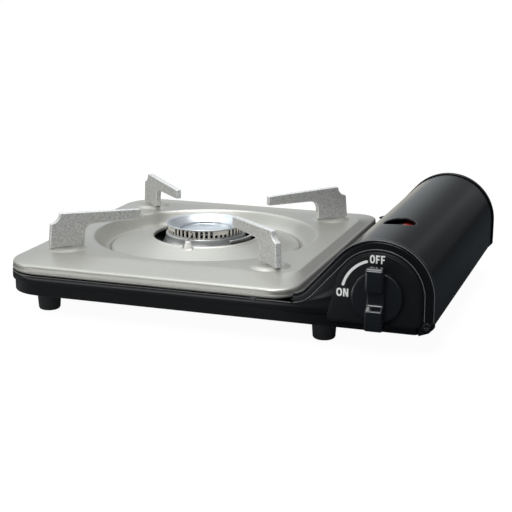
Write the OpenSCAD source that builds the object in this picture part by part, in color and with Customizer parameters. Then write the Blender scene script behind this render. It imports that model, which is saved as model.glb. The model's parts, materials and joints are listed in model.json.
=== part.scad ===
// Butane cassette stove: a pressed pan on four feet, a lift-off top plate with
// four cast pot arms round a slotted burner, and a gas bay on the right with a
// hinged half-round cover, a magnet coupling and a rotary igniter knob.
//
// Lengths are in millimetres, +Z is up and the knob faces -Y. The modules work
// from the left edge of the pan (x), its front wall (y) and the table (z);
// placed() moves them so that the origin is under the middle of the stove.

/* [Body] */
// Width over the pan and the gas bay
body_w = 344; // [336:1:364]
// Height of the pan's underside above the table
foot_h = 17.8; // [15:0.1:22]
// Height of the pan, underside to rim
pan_h = 16.1; // [15.5:0.1:20]
// Height of the raised band under the rim
band_h = 5.5; // [4:0.1:7]
// How far the band stands proud of the lower wall
band_step = 1.9; // [1.2:0.1:3]
// Plan radius of the pan's left corners
corner_r = 32; // [20:1:40]
// Thickness of the pressed steel sheet
sheet = 1.0; // [0.8:0.1:1.2]

/* [Gas bay] */
// Outside radius of the half-round cover
cover_r = 39.15; // [38.5:0.05:41]
// Height of the arch's centre above the table
arch_z = 44.76; // [44:0.1:47]
// How far the end frames stand proud of the cover
frame_lip = 1.0; // [0.6:0.1:2]
// Width of the end frames' visible band
frame_band = 6.6; // [5:0.1:8]
// Depth of the end frames
frame_depth = 6; // [4:0.5:8]
// Slope of the shoulder between the pan and the arch, in degrees
shoulder_slope = 48; // [44:1:54]
// Radius where the shoulder leaves the rim
shoulder_r = 22; // [16:1:28]
// Diameter of the sight hole in the cover
sight_d = 23.4; // [16:0.2:28]
// Distance of the sight hole behind the front wall
sight_y = 69.3; // [60:1:90]
// Height of the cover's hinge axis
hinge_z = 25.1; // [24:0.1:27]
// Distance of the hinge axis in from the right side
hinge_in = 5.0; // [4.5:0.1:6]
// Diameter of the hinge pins
hinge_d = 4.0; // [3:0.1:5]

/* [Top plate] */
// Gap between the plate's right edge and the wall beside the cartridge
plate_to_bay = 22; // [22:0.5:28]
// Height of the plate's rolled edge
plate_edge_h = 5.5; // [4:0.1:7]
// Rise from the rolled edge to the flat middle
plate_crown = 4.2; // [2:0.1:6]
// Distance of the round dish in from the plate's sides
dish_inset = 25.5; // [23.5:0.5:32]
// Depth of the dish
dish_depth = 10; // [8:0.1:10.5]
// Radius of the burner hole
hole_r = 43.5; // [42.5:0.5:46]
// Diameter of the bosses under the pot arms
boss_d = 34; // [32:1:38]
// Distance of the bosses' centres in from the plate's sides
boss_inset = 33.6; // [32:0.1:38]

/* [Pot arms] */
// Length of an arm, from its inner tip to its outer foot
arm_len = 78; // [70:0.5:86]
// Thickness of an arm
arm_t = 4.8; // [4:0.1:6]
// Height of an arm above its boss
arm_h = 27.4; // [24:0.1:32]
// Fall of the top edge towards the tip
arm_fall = 2.9; // [0:0.1:4]
// Depth of the arm at its tip
arm_tip_h = 8; // [6:0.1:10]

/* [Burner] */
// How far the burner sits to the right of the plate's middle
burner_off = 1.3; // [0:0.1:2]
// Outside radius of the slotted ring
port_ring_r = 31.6; // [29:0.1:32]
// Height of the slotted ring
port_ring_h = 6.7; // [5:0.1:9]
// Number of port positions round the ring
port_count = 48; // [36:4:60]
// Width of a slot
port_w = 2.1; // [1.4:0.1:2.4]
// Radius of the cap's rolled lip
cap_r = 33.2; // [32.8:0.1:34]
// Radius of the inner dish
inner_dish_r = 22.5; // [18:0.5:25]
// Diameter of the mixing tube
tube_d = 12; // [10:0.5:12.5]

/* [Cartridge] */
// Diameter over the seams of the gas cartridge
can_d = 67; // [64:0.5:67]
// Length of the cartridge's body
can_len = 185; // [170:1:195]
// Room behind the cartridge, to the rear wall
can_room = 23.4; // [21:0.1:30]
// Height of the cartridge's axis
can_z = 46; // [45.6:0.1:46.2]
// Travel that frees the cartridge from the valve
can_travel = 12; // [8:1:12]
// Wall of the cartridge
can_wall = 0.9; // [0.3:0.1:1.2]

/* [Knob] */
// Distance of the knob's face in front of the front wall
knob_proud = 15; // [12:0.5:18]
// Diameter of the knob's disc
knob_d = 37; // [32:1:44]
// Length of the knob's grip
grip_len = 45.6; // [40:0.2:48]
// Width of the knob's grip
grip_w = 12.7; // [10:0.1:15]
// Turn of the knob from off to on, in degrees
knob_turn = 90; // [60:5:90]

/* [Feet] */
// Diameter of a foot at the table
foot_d = 17.1; // [14:0.1:20]
// Diameter of a foot under the pan
foot_top_d = 19.4; // [16:0.1:22]
// Distance of the feet from the pan's left edge and from its front and rear
foot_inset = 29; // [26:0.5:34]

/* [Hidden] */
$fn = 64;

// Clearances
fit_gap = 0.3;     // pieces of different bodies
run_gap = 0.05;    // a pin in its bore, on the radius
lap = 2;           // how far a frame tucks behind an end wall

// Body
collar_y = 49;
can_y0 = collar_y + 12.6;
can_y1 = can_y0 + can_len;
body_d = can_y1 + can_room;
front_y = (knob_proud - body_d) / 2;
rim_z = foot_h + pan_h;
step_z = rim_z - band_h;
floor_z = foot_h + sheet;
frame_r = cover_r + frame_lip;
arch_x = body_w - frame_r;
wall_arch_r = frame_r - frame_band;
pan_right = body_w - 11;
pan_right_r = 4;
pan_right_top = 26;
bay_wall_x = arch_x - cover_r - 2.7;

// Shoulder: a straight slope that meets the arch and the rim with tangent arcs
slope_n = [-sin(shoulder_slope), cos(shoulder_slope)];
slope_d = [cos(shoulder_slope), sin(shoulder_slope)];
arch_c = [arch_x, arch_z];
function slope_top(g) = arch_c + (wall_arch_r + g) * slope_n;
function slope_corner(g) = let (top = slope_top(g), z = rim_z + g)
    top - (top.y - z) / sin(shoulder_slope) * slope_d;
function slope_run(g) = (shoulder_r - g) * tan(shoulder_slope / 2);
shoulder_x = slope_corner(0).x - slope_run(0);
frame_x0 = shoulder_x + 1.9;

// Cartridge and trough
can_r = can_d / 2;
cradle_r = can_r + fit_gap;
cradle_t = 0.8;
trough_r = cradle_r + cradle_t + fit_gap;
trough_y0 = 48;
trough_y1 = body_d - 8;
can_c = [arch_x, can_z];
cradle_len = 0.65 * can_len;

// Top plate
plate_x0 = 1;
plate_x1 = bay_wall_x - plate_to_bay;
plate_y0 = 1.3;
plate_y1 = body_d - plate_y0;
plate_half = min(plate_x1 - plate_x0, plate_y1 - plate_y0) / 2;
dish_r = plate_half - dish_inset;
plate_gap = 0.9;
plate_z0 = rim_z + plate_gap;
plate_edge_z = plate_z0 + plate_edge_h;
plate_z = plate_edge_z + plate_crown;
plate_left_r = corner_r - 1;
plate_right_r = 18;
flat_in_left = 24;
flat_in_right = 8.5;
flat_in_ends = 34;
flat_left_r = 24;
flat_right_r = 14;
hole_z = plate_z - 0.3;
boss_h = 2.7;
boss_z = plate_z + boss_h;
boss_at_r = sqrt(2) * (plate_half - boss_inset);
arm_foot_r = boss_at_r + 15;
arm_tip_r = arm_foot_r - arm_len;

// Burner
burner_x = (plate_x0 + plate_x1) / 2 + burner_off;
burner_y = body_d / 2;
burner_seat_z = floor_z + 0.8;
ring_z = plate_z + 2.8;
ring_top = ring_z + port_ring_h;
ring_t = 2.2;
skirt_r = port_ring_r + 6.3;
tube_r = tube_d / 2;
tube_wall = 0.7;
tube_z = floor_z + 7.8;
governor_y0 = 10;
governor_y1 = 34;
governor_r = 15;
elbow = [arch_x - governor_r - 4.2, governor_y0 + 5.5];
elbow_at = elbow - [burner_x, burner_y];
tube_angle = atan2(elbow_at.y, elbow_at.x);
jet_at = (bay_wall_x + 0.4 - burner_x) / cos(tube_angle);
jet_gap = 7;
tube_len = jet_at - jet_gap;
outlet_len = norm(elbow_at) - jet_at;
electrode_r = hole_r + 2;
electrode_angle = -87;

// Gas train, measured back from the front wall
stop_y = governor_y1 + 0.4;
magnet_y0 = stop_y + sheet + 0.2;
magnet_y1 = collar_y - fit_gap;
spindle_r = 3;
cam_y0 = 3.4;
cam_t = 5;
cam_r = 9;
cam_lift = 4;
cam_gap = 0.5;
igniter_top = arch_z - cam_r - cam_lift - 0.8;
governor_screw_x = 13;
governor_screw_up = 5;
socket_flange_r = 9;
magnet_r = 18.5;
magnet_bore = 11;

// Hinge
hinge_x = body_w - hinge_in;
hinge_r = hinge_d / 2;
cover_gap = 0.4;
cover_y0 = frame_depth + cover_gap;
cover_y1 = body_d - cover_y0;
cover_left_z = arch_z - 4.8;
cover_right_z = hinge_z - 0.7;

// ---------------------------------------------------------------- helpers

module placed() {
    translate([-body_w / 2, front_y, 0]) children();
}

// The same piece at the rear of the stove
module at_rear() {
    translate([0, body_d, 0]) mirror([0, 1, 0]) children();
}

// A drawing in x and z, drawn out along y
module along_y(y0, len) {
    translate([0, y0 + len, 0]) rotate([90, 0, 0]) linear_extrude(len) children();
}

// A drawing in radius and y, turned about an axis along y
module turned_y(c) {
    translate([c.x, 0, c.y]) rotate([-90, 0, 0]) rotate_extrude() children();
}

// A round bar along y
module rod_y(c, r, y0, y1) {
    translate([c.x, y0, c.y]) rotate([-90, 0, 0]) cylinder(h = y1 - y0, r = r);
}

module at_burner(angle = 0) {
    translate([burner_x, burner_y, 0]) rotate([0, 0, angle]) children();
}

// A rectangle with its own radius at the left and the right corners
module round_plan(x0, y0, x1, y1, left_r, right_r) {
    for (y = [y0 + left_r, y1 - left_r]) translate([x0 + left_r, y]) circle(left_r);
    for (y = [y0 + right_r, y1 - right_r]) translate([x1 - right_r, y]) circle(right_r);
    translate([x0 + left_r, y0]) square([x1 - right_r - x0 - left_r, y1 - y0]);
    translate([x0, y0 + left_r]) square([left_r, y1 - y0 - 2 * left_r]);
    translate([x1 - right_r - 0.01, y0 + right_r]) square([right_r + 0.01, y1 - y0 - 2 * right_r]);
}

// ------------------------------------------------------------------- body

module pan_plan(inset) {
    round_plan(inset, inset, pan_right, body_d - inset, corner_r - inset, pan_right_r);
}

// Outline of an end of the stove, grown outwards by g: rim, shoulder and arch
module end_outline(g, low = foot_h) {
    r = wall_arch_r + g;
    z = rim_z + g;
    top = slope_top(g);
    corner = slope_corner(g);
    run = slope_run(g);
    right = arch_x + r;
    translate(arch_c) circle(r);
    polygon([
        [shoulder_x - lap, low], [right - 11, low], [right - 3.7, low + 2.6], [right, low + 6.6],
        [right, arch_z], arch_c, top, corner, [shoulder_x - lap, z]
    ]);
    // fillet where the slope leaves the rim
    start = [corner.x - run, z];
    end = corner + run * slope_d;
    difference() {
        polygon([start, start - [0, 1], corner + [2, -1], end + [2, -1], end]);
        translate(start + [0, shoulder_r - g]) circle(shoulder_r - g);
    }
}

// The pan's lower wall and floor
module lower_pan() {
    difference() {
        translate([0, 0, foot_h]) linear_extrude(step_z - foot_h) pan_plan(band_step);
        translate([0, 0, floor_z]) linear_extrude(pan_h) difference() {
            pan_plan(band_step + sheet);
            translate([pan_right - sheet, 0]) square([10, body_d]);
        }
        translate([arch_x, -1, pan_right_top]) cube([body_w, body_d + 2, pan_h]);
    }
}

// The raised band under the rim: front, left and rear, open towards the gas bay
module rim_band() {
    difference() {
        translate([0, 0, step_z - sheet]) linear_extrude(band_h + sheet) pan_plan(0);
        translate([0, 0, step_z]) linear_extrude(band_h + 1) pan_plan(sheet);
        translate([0, 0, foot_h]) linear_extrude(pan_h) pan_plan(band_step + sheet);
        translate([0, 0, step_z - sheet - 1]) linear_extrude(1 + sheet) pan_plan(band_step);
        translate([arch_x, -1, foot_h]) cube([body_w, body_d + 2, pan_h + 1]);
    }
    translate([0, 0, step_z - sheet]) linear_extrude(sheet) difference() {
        pan_plan(0);
        pan_plan(band_step + sheet);
        translate([arch_x, -1]) square([body_w, body_d + 2]);
    }
}

module end_wall() {
    along_y(0, sheet) intersection() {
        end_outline(0);
        translate([shoulder_x - lap, step_z]) square([body_w, 2 * frame_r]);
    }
}

module trough(y0, y1, r) {
    along_y(y0, y1 - y0) intersection() {
        translate(can_c) circle(r);
        translate([0, 0]) square([body_w, floor_z]);
    }
}

foot_xs = [foot_inset, bay_wall_x - 5.2];
foot_ys = [foot_inset, body_d - foot_inset];
module at_feet() {
    for (x = foot_xs) for (y = foot_ys) translate([x, y, 0]) children();
}

vent_w = 0.72 * cover_r;
module base_tray() {
    color("#17191c") placed() difference() {
        union() {
            lower_pan();
            rim_band();
            end_wall();
            at_rear() end_wall();
            trough(trough_y0, trough_y1, trough_r + sheet);
        }
        trough(trough_y0 + sheet, trough_y1 - sheet, trough_r);
        rod_y(arch_c, spindle_r + 3, -1, band_step + sheet + 1);
        at_feet() translate([0, 0, foot_h - 1]) cylinder(h = 3, r = 1.6);
        // air slots in the floor round the burner
        for (a = [60, 120, 180, 240, 300]) at_burner(a) translate([50, -12, foot_h - 1]) cube([5, 24, 3]);
        // air slots in the bay's rear wall
        for (i = [-1, 0, 1])
            translate([arch_x - vent_w / 2, body_d - 4, arch_z + 9 * i]) cube([vent_w, 5, 3]);
    }
}

module foot() {
    r0 = foot_d / 2;
    r1 = foot_top_d / 2;
    edge = 1.5;
    color("#1b1c1e") rotate_extrude() polygon([
        [4.2, 0], [r0 - edge, 0], [r0 - 0.4 * edge, 0.4 * edge], [r0, edge],
        [r1, foot_h], [1.7, foot_h], [1.7, 10], [4.2, 10]
    ]);
}
module foot_at(i, j) {
    placed() translate([foot_xs[i], foot_ys[j], 0]) foot();
}
module foot_front_left() { foot_at(0, 0); }
module foot_front_right() { foot_at(1, 0); }
module foot_rear_left() { foot_at(0, 1); }
module foot_rear_right() { foot_at(1, 1); }

module foot_screws() {
    color("#8d9094") placed() at_feet() {
        translate([0, 0, 7.6]) cylinder(h = 2.4, r = 3.4);
        translate([0, 0, 10]) cylinder(h = foot_h - 8, r = 1.55);
    }
}

// The folded band that carries the arch's edge, behind the end wall's outline
module end_frame() {
    difference() {
        union() {
            along_y(sheet, sheet) intersection() {
                end_outline(frame_band);
                translate([frame_x0, foot_h]) square([body_w, 2 * frame_r]);
            }
            along_y(sheet, frame_depth - sheet) intersection() {
                difference() {
                    end_outline(frame_band);
                    end_outline(frame_band - sheet, foot_h + sheet);
                }
                translate([frame_x0, foot_h]) square([body_w, 2 * frame_r]);
            }
        }
        along_y(0, frame_depth + 1) intersection() {
            end_outline(-lap);
            translate([0, step_z]) square([body_w, body_w]);
        }
        along_y(0, frame_depth + 1) square([pan_right, step_z]);
        rod_y([hinge_x, hinge_z], hinge_r + run_gap, 0, frame_depth + 1);
    }
}
module front_frame() { color("#1d2024") placed() end_frame(); }
module rear_frame() { color("#1d2024") placed() at_rear() end_frame(); }

// Moulded panel round the knob, in the front wall's arch
panel_t = 1.4;
panel_flare = 5.2;          // how far its low left corner reaches past the arch
panel_low = step_z - 5;
panel_low_r = [4, 6];       // of its low corners
module panel_outline(inset) {
    r = wall_arch_r - 2 - inset;
    left = arch_x - wall_arch_r + 2 - panel_flare + inset;
    low = panel_low + inset;
    hull() {
        intersection() {
            translate(arch_c) circle(r);
            translate([arch_x - r, arch_z - 5]) square([2 * r, 2 * r]);
        }
        translate([left + panel_low_r[0], low + panel_low_r[0]]) circle(panel_low_r[0]);
        translate([arch_x + r - panel_low_r[1], low + panel_low_r[1]]) circle(panel_low_r[1]);
    }
}
module knob_panel() {
    color("#121315") placed() difference() {
        union() {
            along_y(-panel_t, panel_t) panel_outline(0);
            along_y(-panel_t - 0.5, 0.5) panel_outline(1.2);
            along_y(0, band_step) intersection() {
                panel_outline(0);
                square([pan_right - pan_right_r, step_z - sheet]);
            }
        }
        rod_y(arch_c, spindle_r + 1, -5, band_step + 1);
    }
}

// ---------------------------------------------------------------- gas bay

// One folded sheet: the wall beside the cartridge, and an S-shaped shield that
// runs out under the edge of the top plate
flange_in = 42;
flange_len = 30;
wall_in = frame_depth + 2;
module bay_partition() {
    color("#26292d") placed() difference() {
        union() {
            // the wall's top follows the shoulder, so that wall and shield are one folded sheet
            along_y(wall_in, body_d - 2 * wall_in) difference() {
                intersection() {
                    end_outline(-0.2);
                    square([bay_wall_x + sheet, body_w]);
                }
                intersection() {
                    end_outline(-0.2 - sheet);
                    square([bay_wall_x, body_w]);
                }
                square([bay_wall_x, rim_z - 1.8]);
                square([body_w, floor_z]);
            }
            for (y = [flange_in, body_d - flange_in - flange_len])
                translate([bay_wall_x - 10, y, floor_z]) cube([10.5, flange_len, sheet]);
        }
        at_burner(tube_angle) translate([tube_len - 10, 0, tube_z])
            rotate([0, 90, 0]) cylinder(h = 40, r = tube_r + 2.4);
        translate([bay_wall_x - 1, burner_y - 13, rim_z - 3]) cube([4, 26, 3]);
    }
}

// Spring clip that the cover's left edge snaps past
module cover_catch() {
    color("#9da1a6") placed() along_y(body_d / 2 + 25, 18) polygon([
        [bay_wall_x + sheet, cover_left_z - 12], [bay_wall_x + sheet + 0.6, cover_left_z - 12],
        [bay_wall_x + sheet + 0.6, cover_left_z - 3], [bay_wall_x + sheet + 3.4, cover_left_z - 1.6],
        [bay_wall_x + sheet + 3.4, cover_left_z - 0.9], [bay_wall_x + sheet, cover_left_z - 2.6]
    ]);
}

module cover_section() {
    right = arch_x + cover_r;
    difference() {
        union() {
            translate(arch_c) circle(cover_r);
            translate([arch_x, cover_right_z]) square([cover_r, arch_z - cover_right_z]);
            translate([arch_x - cover_r, cover_left_z]) square([cover_r, arch_z - cover_left_z]);
        }
        translate(arch_c) circle(cover_r - sheet);
        translate([arch_x - cover_r + sheet, 0]) square([2 * (cover_r - sheet), arch_z]);
        translate([arch_x - cover_r - 1, 0]) square([cover_r, cover_left_z]);
        translate([arch_x, 0]) square([cover_r + 1, cover_right_z]);
    }
}
module cover_ear() {
    right = arch_x + cover_r;
    hull() {
        translate([hinge_x, hinge_z]) circle(3.6);
        translate([right - 1.5, hinge_z - 0.5]) square([1.5, 18]);
    }
}
module cover() {
    color("#1a1c1f") placed() difference() {
        union() {
            along_y(cover_y0, cover_y1 - cover_y0) cover_section();
            along_y(cover_y0, 1.2) cover_ear();
            at_rear() along_y(cover_y0, 1.2) cover_ear();
        }
        translate([arch_x - 1.2, sight_y, arch_z]) cylinder(h = cover_r + 5, d = sight_d);
        rod_y([hinge_x, hinge_z], hinge_r + run_gap, 0, body_d);
    }
}

module hinge_pin() {
    rod_y([hinge_x, hinge_z], hinge_r, sheet, cover_y0 + 3);
    difference() {
        rod_y([hinge_x, hinge_z], 3.2, -0.8, sheet);
        for (w = [[3.6, 0.8], [0.8, 3.6]])
            translate([hinge_x - w.x / 2, -1, hinge_z - w.y / 2]) cube([w.x, 1.1, w.y]);
    }
}
module hinge_pin_front() { color("#74777b") placed() hinge_pin(); }
module hinge_pin_rear() { color("#74777b") placed() at_rear() hinge_pin(); }

// -------------------------------------------------------------- top plate

module plate_plan(inset) {
    round_plan(plate_x0 + inset, plate_y0 + inset, plate_x1 - inset, plate_y1 - inset,
        plate_left_r - inset, plate_right_r - inset);
}
module flat_plan() {
    round_plan(plate_x0 + flat_in_left, plate_y0 + flat_in_ends, plate_x1 - flat_in_right,
        plate_y1 - flat_in_ends, flat_left_r, flat_right_r);
}
module plate_block(inset, drop) {
    hull() {
        translate([0, 0, plate_edge_z - drop - 0.1]) linear_extrude(0.1) plate_plan(inset + 0.9);
        translate([0, 0, plate_edge_z - drop - 1.0]) linear_extrude(0.1) plate_plan(inset);
        translate([0, 0, plate_z - drop - 0.1]) linear_extrude(0.1) flat_plan();
    }
    translate([0, 0, plate_z0 - drop]) linear_extrude(plate_edge_h - 0.95) plate_plan(inset);
}

arm_angles = [45, 135, 225, 315];
module at_arms() {
    for (a = arm_angles) at_burner(a) translate([boss_at_r, 0, 0]) children();
}
boss_soft = 5.5;
module boss(inset) {
    r = boss_d / 2 - inset;
    z = boss_z - inset;
    rotate_extrude() polygon(concat(
        [[0, plate_edge_z - inset], [r, plate_edge_z - inset]],
        [for (i = [0:5]) [r - boss_soft * i / 5, z - (boss_h - 0.3) * (1 + cos(36 * i)) / 2]],
        [[0, z]]
    ));
}

// Height of the dish's surface at radius r: a soft S into the dish, then a
// gentle rise to the lip of the burner hole
dish_soft = 10;
dish_low = plate_z - dish_depth;
function dish_at(r) =
    r > dish_r - dish_soft
    ? dish_low + dish_depth * (1 - cos(180 * (r - dish_r + dish_soft) / dish_soft)) / 2
    : dish_low + (hole_z - dish_low)
        * pow((dish_r - dish_soft - r) / (dish_r - dish_soft - hole_r), 1.25);
dish_steps = [for (i = [0:10]) dish_r - dish_soft * i / 10];
floor_steps = [for (i = [1:6]) dish_r - dish_soft - (dish_r - dish_soft - hole_r) * i / 6];
dish_rs = concat(dish_steps, floor_steps);
module dish() {
    down = sheet * 1.15;
    rotate_extrude() polygon(concat(
        [for (r = dish_rs) [r, dish_at(r)]],
        [[hole_r, hole_z - 2.2], [hole_r + 0.8, hole_z - 2.2]],
        [for (i = [len(dish_rs) - 2:-1:0]) [dish_rs[i], dish_at(dish_rs[i]) - down]]
    ));
}

tenon_w = 18;
tenon_t = 3;
module top_plate() {
    color("#bdbdb6") placed() difference() {
        union() {
            difference() {
                union() {
                    plate_block(0, 0);
                    at_arms() boss(0);
                }
                plate_block(sheet, sheet);
                at_arms() boss(sheet);
                translate([0, 0, plate_z0 - 1]) linear_extrude(1.5) plate_plan(sheet);
                at_burner() translate([0, 0, foot_h]) cylinder(h = 60, r = dish_r);
            }
            at_burner() dish();
        }
        at_arms() translate([-tenon_w / 2 - 0.1, -tenon_t / 2 - 0.1, plate_edge_z])
            cube([tenon_w + 0.2, tenon_t + 0.2, 12]);
        // notch in the hole's lip for the spark electrode
        at_burner(electrode_angle) translate([electrode_r - 0.5, 0, foot_h]) cylinder(h = 40, r = 4.6);
    }
}

// Rubber clips over the rim that the top plate rests on: one in front, one
// behind, and one on the left without a leg outside
buffer_x = plate_x1 - 29;
buffer_w = 4;
buffer_leg = 2.5;
module plate_buffer(out) {
    translate([-buffer_w / 2, -out, rim_z]) cube([buffer_w, sheet + 0.6 + out, plate_gap - 0.1]);
    translate([-buffer_w / 2, sheet, rim_z - buffer_leg]) cube([buffer_w, 0.6, buffer_leg + 0.1]);
    if (out > 0)
        translate([-buffer_w / 2, -out, rim_z - buffer_leg]) cube([buffer_w, out, buffer_leg + 0.1]);
}
module plate_buffers() {
    color("#0e0e0f") placed() {
        translate([buffer_x, 0, 0]) plate_buffer(0.4);
        at_rear() translate([buffer_x, 0, 0]) plate_buffer(0.4);
        translate([0, burner_y, 0]) rotate([0, 0, -90]) plate_buffer(0);
    }
}

// Side view of a pot arm, in radius about the burner and height
arm_soft = 0.7;
module arm_outline() {
    top = boss_z + arm_h;
    tip_top = top - arm_fall;
    under = tip_top - arm_tip_h;
    leg_r = arm_foot_r - 28.5;
    arch_fillet = 7;
    notch_r = 8.5;
    offset(r = arm_soft) offset(delta = -arm_soft) difference() {
        polygon([
            [arm_tip_r, tip_top], [arm_foot_r - 1.5, top + 0.3], [arm_foot_r - 1.8, top - 8],
            [arm_foot_r, boss_z], [arm_tip_r, boss_z]
        ]);
        translate([arm_foot_r - 1.3, top + 0.4]) circle(notch_r);
        translate([0, 0]) square([leg_r, under - arch_fillet]);
        translate([0, 0]) square([leg_r - arch_fillet, under]);
        translate([leg_r - arch_fillet, under - arch_fillet]) circle(arch_fillet);
    }
}
module arm(i) {
    color("#a7a8a5") placed() at_burner(arm_angles[i]) {
        rotate([90, 0, 0]) linear_extrude(arm_t, center = true) arm_outline();
        translate([boss_at_r - tenon_w / 2, -tenon_t / 2, boss_z - 3]) cube([tenon_w, tenon_t, 4.5]);
    }
}
module arm_rear_right() { arm(0); }
module arm_rear_left() { arm(1); }
module arm_front_left() { arm(2); }
module arm_front_right() { arm(3); }

// ----------------------------------------------------------------- burner

bracket_len = 60;
bracket_w = 22;
bracket_screw_in = 6;
screw_r = 1.6;
screw_gap = 0.1;
screw_head_r = 3;
screw_head_h = 2;
module at_bracket_screws() {
    for (side = [-1, 1]) translate([side * (bracket_len / 2 - bracket_screw_in), 0, 0]) children();
}
module burner_bracket() {
    color("#a9acaf") placed() at_burner() difference() {
        translate([-bracket_len / 2, -bracket_w / 2, floor_z])
            cube([bracket_len, bracket_w, burner_seat_z - floor_z]);
        at_bracket_screws() cylinder(h = burner_seat_z + 1, r = screw_r + screw_gap);
    }
}
module burner_screws() {
    color("#8d9094") placed() at_burner() at_bracket_screws() {
        translate([0, 0, floor_z]) cylinder(h = burner_seat_z - floor_z + screw_r, r = screw_r);
        translate([0, 0, burner_seat_z]) cylinder(h = screw_head_h, r = screw_head_r);
    }
}

// Casting: chamber under the ports, flared skirt, and the mixing tube's socket
module burner_body() {
    r = port_ring_r;
    socket_r = tube_r + 0.9;
    skirt_top = ring_z - 1.3;
    skirt_low = ring_z - 11.3;
    color("#c3c6ca") placed() at_burner() difference() {
        union() {
            rotate_extrude() polygon(concat(
                [[0, burner_seat_z], [13.5, burner_seat_z], [13.5, tube_z + 0.4], [r - 6, ring_z - 12],
                [r - 0.6, ring_z - 4.8], [skirt_r - 1.3, skirt_low], [skirt_r, skirt_low]],
                [for (i = [1:6]) let (t = i / 6)
                    [skirt_r - (skirt_r - r - 1.8) * sin(90 * t), skirt_low + (skirt_top - skirt_low) * t]],
                [[r + 0.8, ring_z], [r - ring_t - 0.6, ring_z], [r - ring_t - 0.6, ring_z - 1.7],
                [r - 7.2, ring_z - 10], [12, tube_z + 2], [12, burner_seat_z + 1.4],
                [4, burner_seat_z + 1.4], [4, ring_z - 0.2], [0, ring_z - 0.2]]
            ));
            rotate([0, 0, tube_angle]) translate([8, 0, tube_z]) rotate([0, 90, 0])
                cylinder(h = 16, r = socket_r);
        }
        rotate([0, 0, tube_angle]) translate([5, 0, tube_z]) rotate([0, 90, 0])
            cylinder(h = 20, r = tube_r + 0.05);
    }
}

// Slots everywhere but beside the pot arms, where three small ports keep the flame low
port_pitch = 360 / port_count;
function off_arm(a) = abs((a + 45) % 90 - 45);
function is_small(a) = abs(off_arm(a + 45)) < 1.5 * port_pitch;
module ports(small) {
    for (i = [0:port_count - 1]) let (a = (i + 0.5) * port_pitch)
        if (is_small(a) == small) rotate([0, 0, a])
            translate([port_ring_r - ring_t - 1, -port_w / 2]) square([ring_t + 2, port_w]);
}
module ring_plan() {
    difference() {
        circle(port_ring_r);
        circle(port_ring_r - ring_t);
    }
}
module port_ring() {
    edge = 0.6;
    small_h = 2.3;
    color("#b4b8bd") placed() at_burner() {
        translate([0, 0, ring_z]) linear_extrude(edge) ring_plan();
        translate([0, 0, ring_z + edge]) linear_extrude(small_h) difference() {
            ring_plan();
            ports(false);
            ports(true);
        }
        translate([0, 0, ring_z + edge + small_h]) linear_extrude(port_ring_h - 2 * edge - small_h)
            difference() {
                ring_plan();
                ports(false);
            }
        translate([0, 0, ring_top - edge]) linear_extrude(edge) ring_plan();
    }
}

// Bowl with a rolled lip that sits on the slotted ring
cap_t = 0.8;
cap_lip = 1.2;
dish_rim_z = ring_top - 3.9;
module burner_cap() {
    top = ring_top + cap_lip;
    color("#c9ccd0") placed() at_burner() rotate_extrude() polygon([
        [inner_dish_r, dish_rim_z], [inner_dish_r + 0.6, dish_rim_z + 0.3], [port_ring_r - 1.6, top - 0.9],
        [cap_r - 1.1, top], [cap_r - 0.3, top - 0.1], [cap_r, top - 0.5], [cap_r - 0.1, top - 1.0],
        [cap_r - 0.6, ring_top], [port_ring_r - ring_t, ring_top],
        [port_ring_r - ring_t - 0.3, top - cap_t - 1.6], [inner_dish_r, dish_rim_z - cap_t]
    ]);
}

// Shallow cup in the middle, with four air slits in its wall
module inner_dish() {
    r = inner_dish_r - 0.2;
    low = ring_z - 0.2;
    color("#ced1d5") placed() at_burner() difference() {
        rotate_extrude() polygon([
            [0, low], [r - 2.2, low], [r - 0.8, low + 0.5], [r, low + 1.4], [r, dish_rim_z - 0.1],
            [r - cap_t, dish_rim_z - 0.1], [r - cap_t, low + 1.6], [r - 2.4, low + cap_t],
            [0, low + cap_t + 0.4]
        ]);
        for (a = [10, 100, 190, 280]) rotate([0, 0, a])
            translate([r - 3, -5.5, low + 1.5]) cube([5, 11, 0.9]);
    }
}

module mixing_tube() {
    color("#b9bcc0") placed() at_burner(tube_angle) translate([0, 0, tube_z]) rotate([0, 90, 0])
        rotate_extrude() polygon([
            [tube_r - tube_wall, 14.2], [tube_r, 14.2], [tube_r, tube_len - 8], [tube_r + 1.3, tube_len],
            [tube_r + 0.6, tube_len], [tube_r - tube_wall, tube_len - 8.2]
        ]);
}

// Brass nozzle on the governor's outlet, pointing down the mixing tube
module jet_line() {
    at_burner(tube_angle) translate([jet_at, 0, tube_z]) rotate([0, 90, 0]) children();
}
jet_r = 2.6;
jet_nose = 4;
jet_hex_r = 4.2;
jet_hex_h = 3;
jet_thread = 5;
jet_bore = 1.2;
module gas_jet() {
    color("#c9a24d") placed() jet_line() difference() {
        union() {
            translate([0, 0, -jet_nose]) cylinder(h = jet_nose, r1 = jet_r - 1, r2 = jet_r);
            cylinder(h = jet_hex_h, r = jet_hex_r, $fn = 6);
            translate([0, 0, jet_hex_h]) cylinder(h = jet_thread, r = jet_r);
        }
        translate([0, 0, -jet_nose - 1])
            cylinder(h = jet_nose + jet_hex_h + jet_thread + 2, r = jet_bore / 2);
    }
}

// --------------------------------------------------------------- ignition

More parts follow.
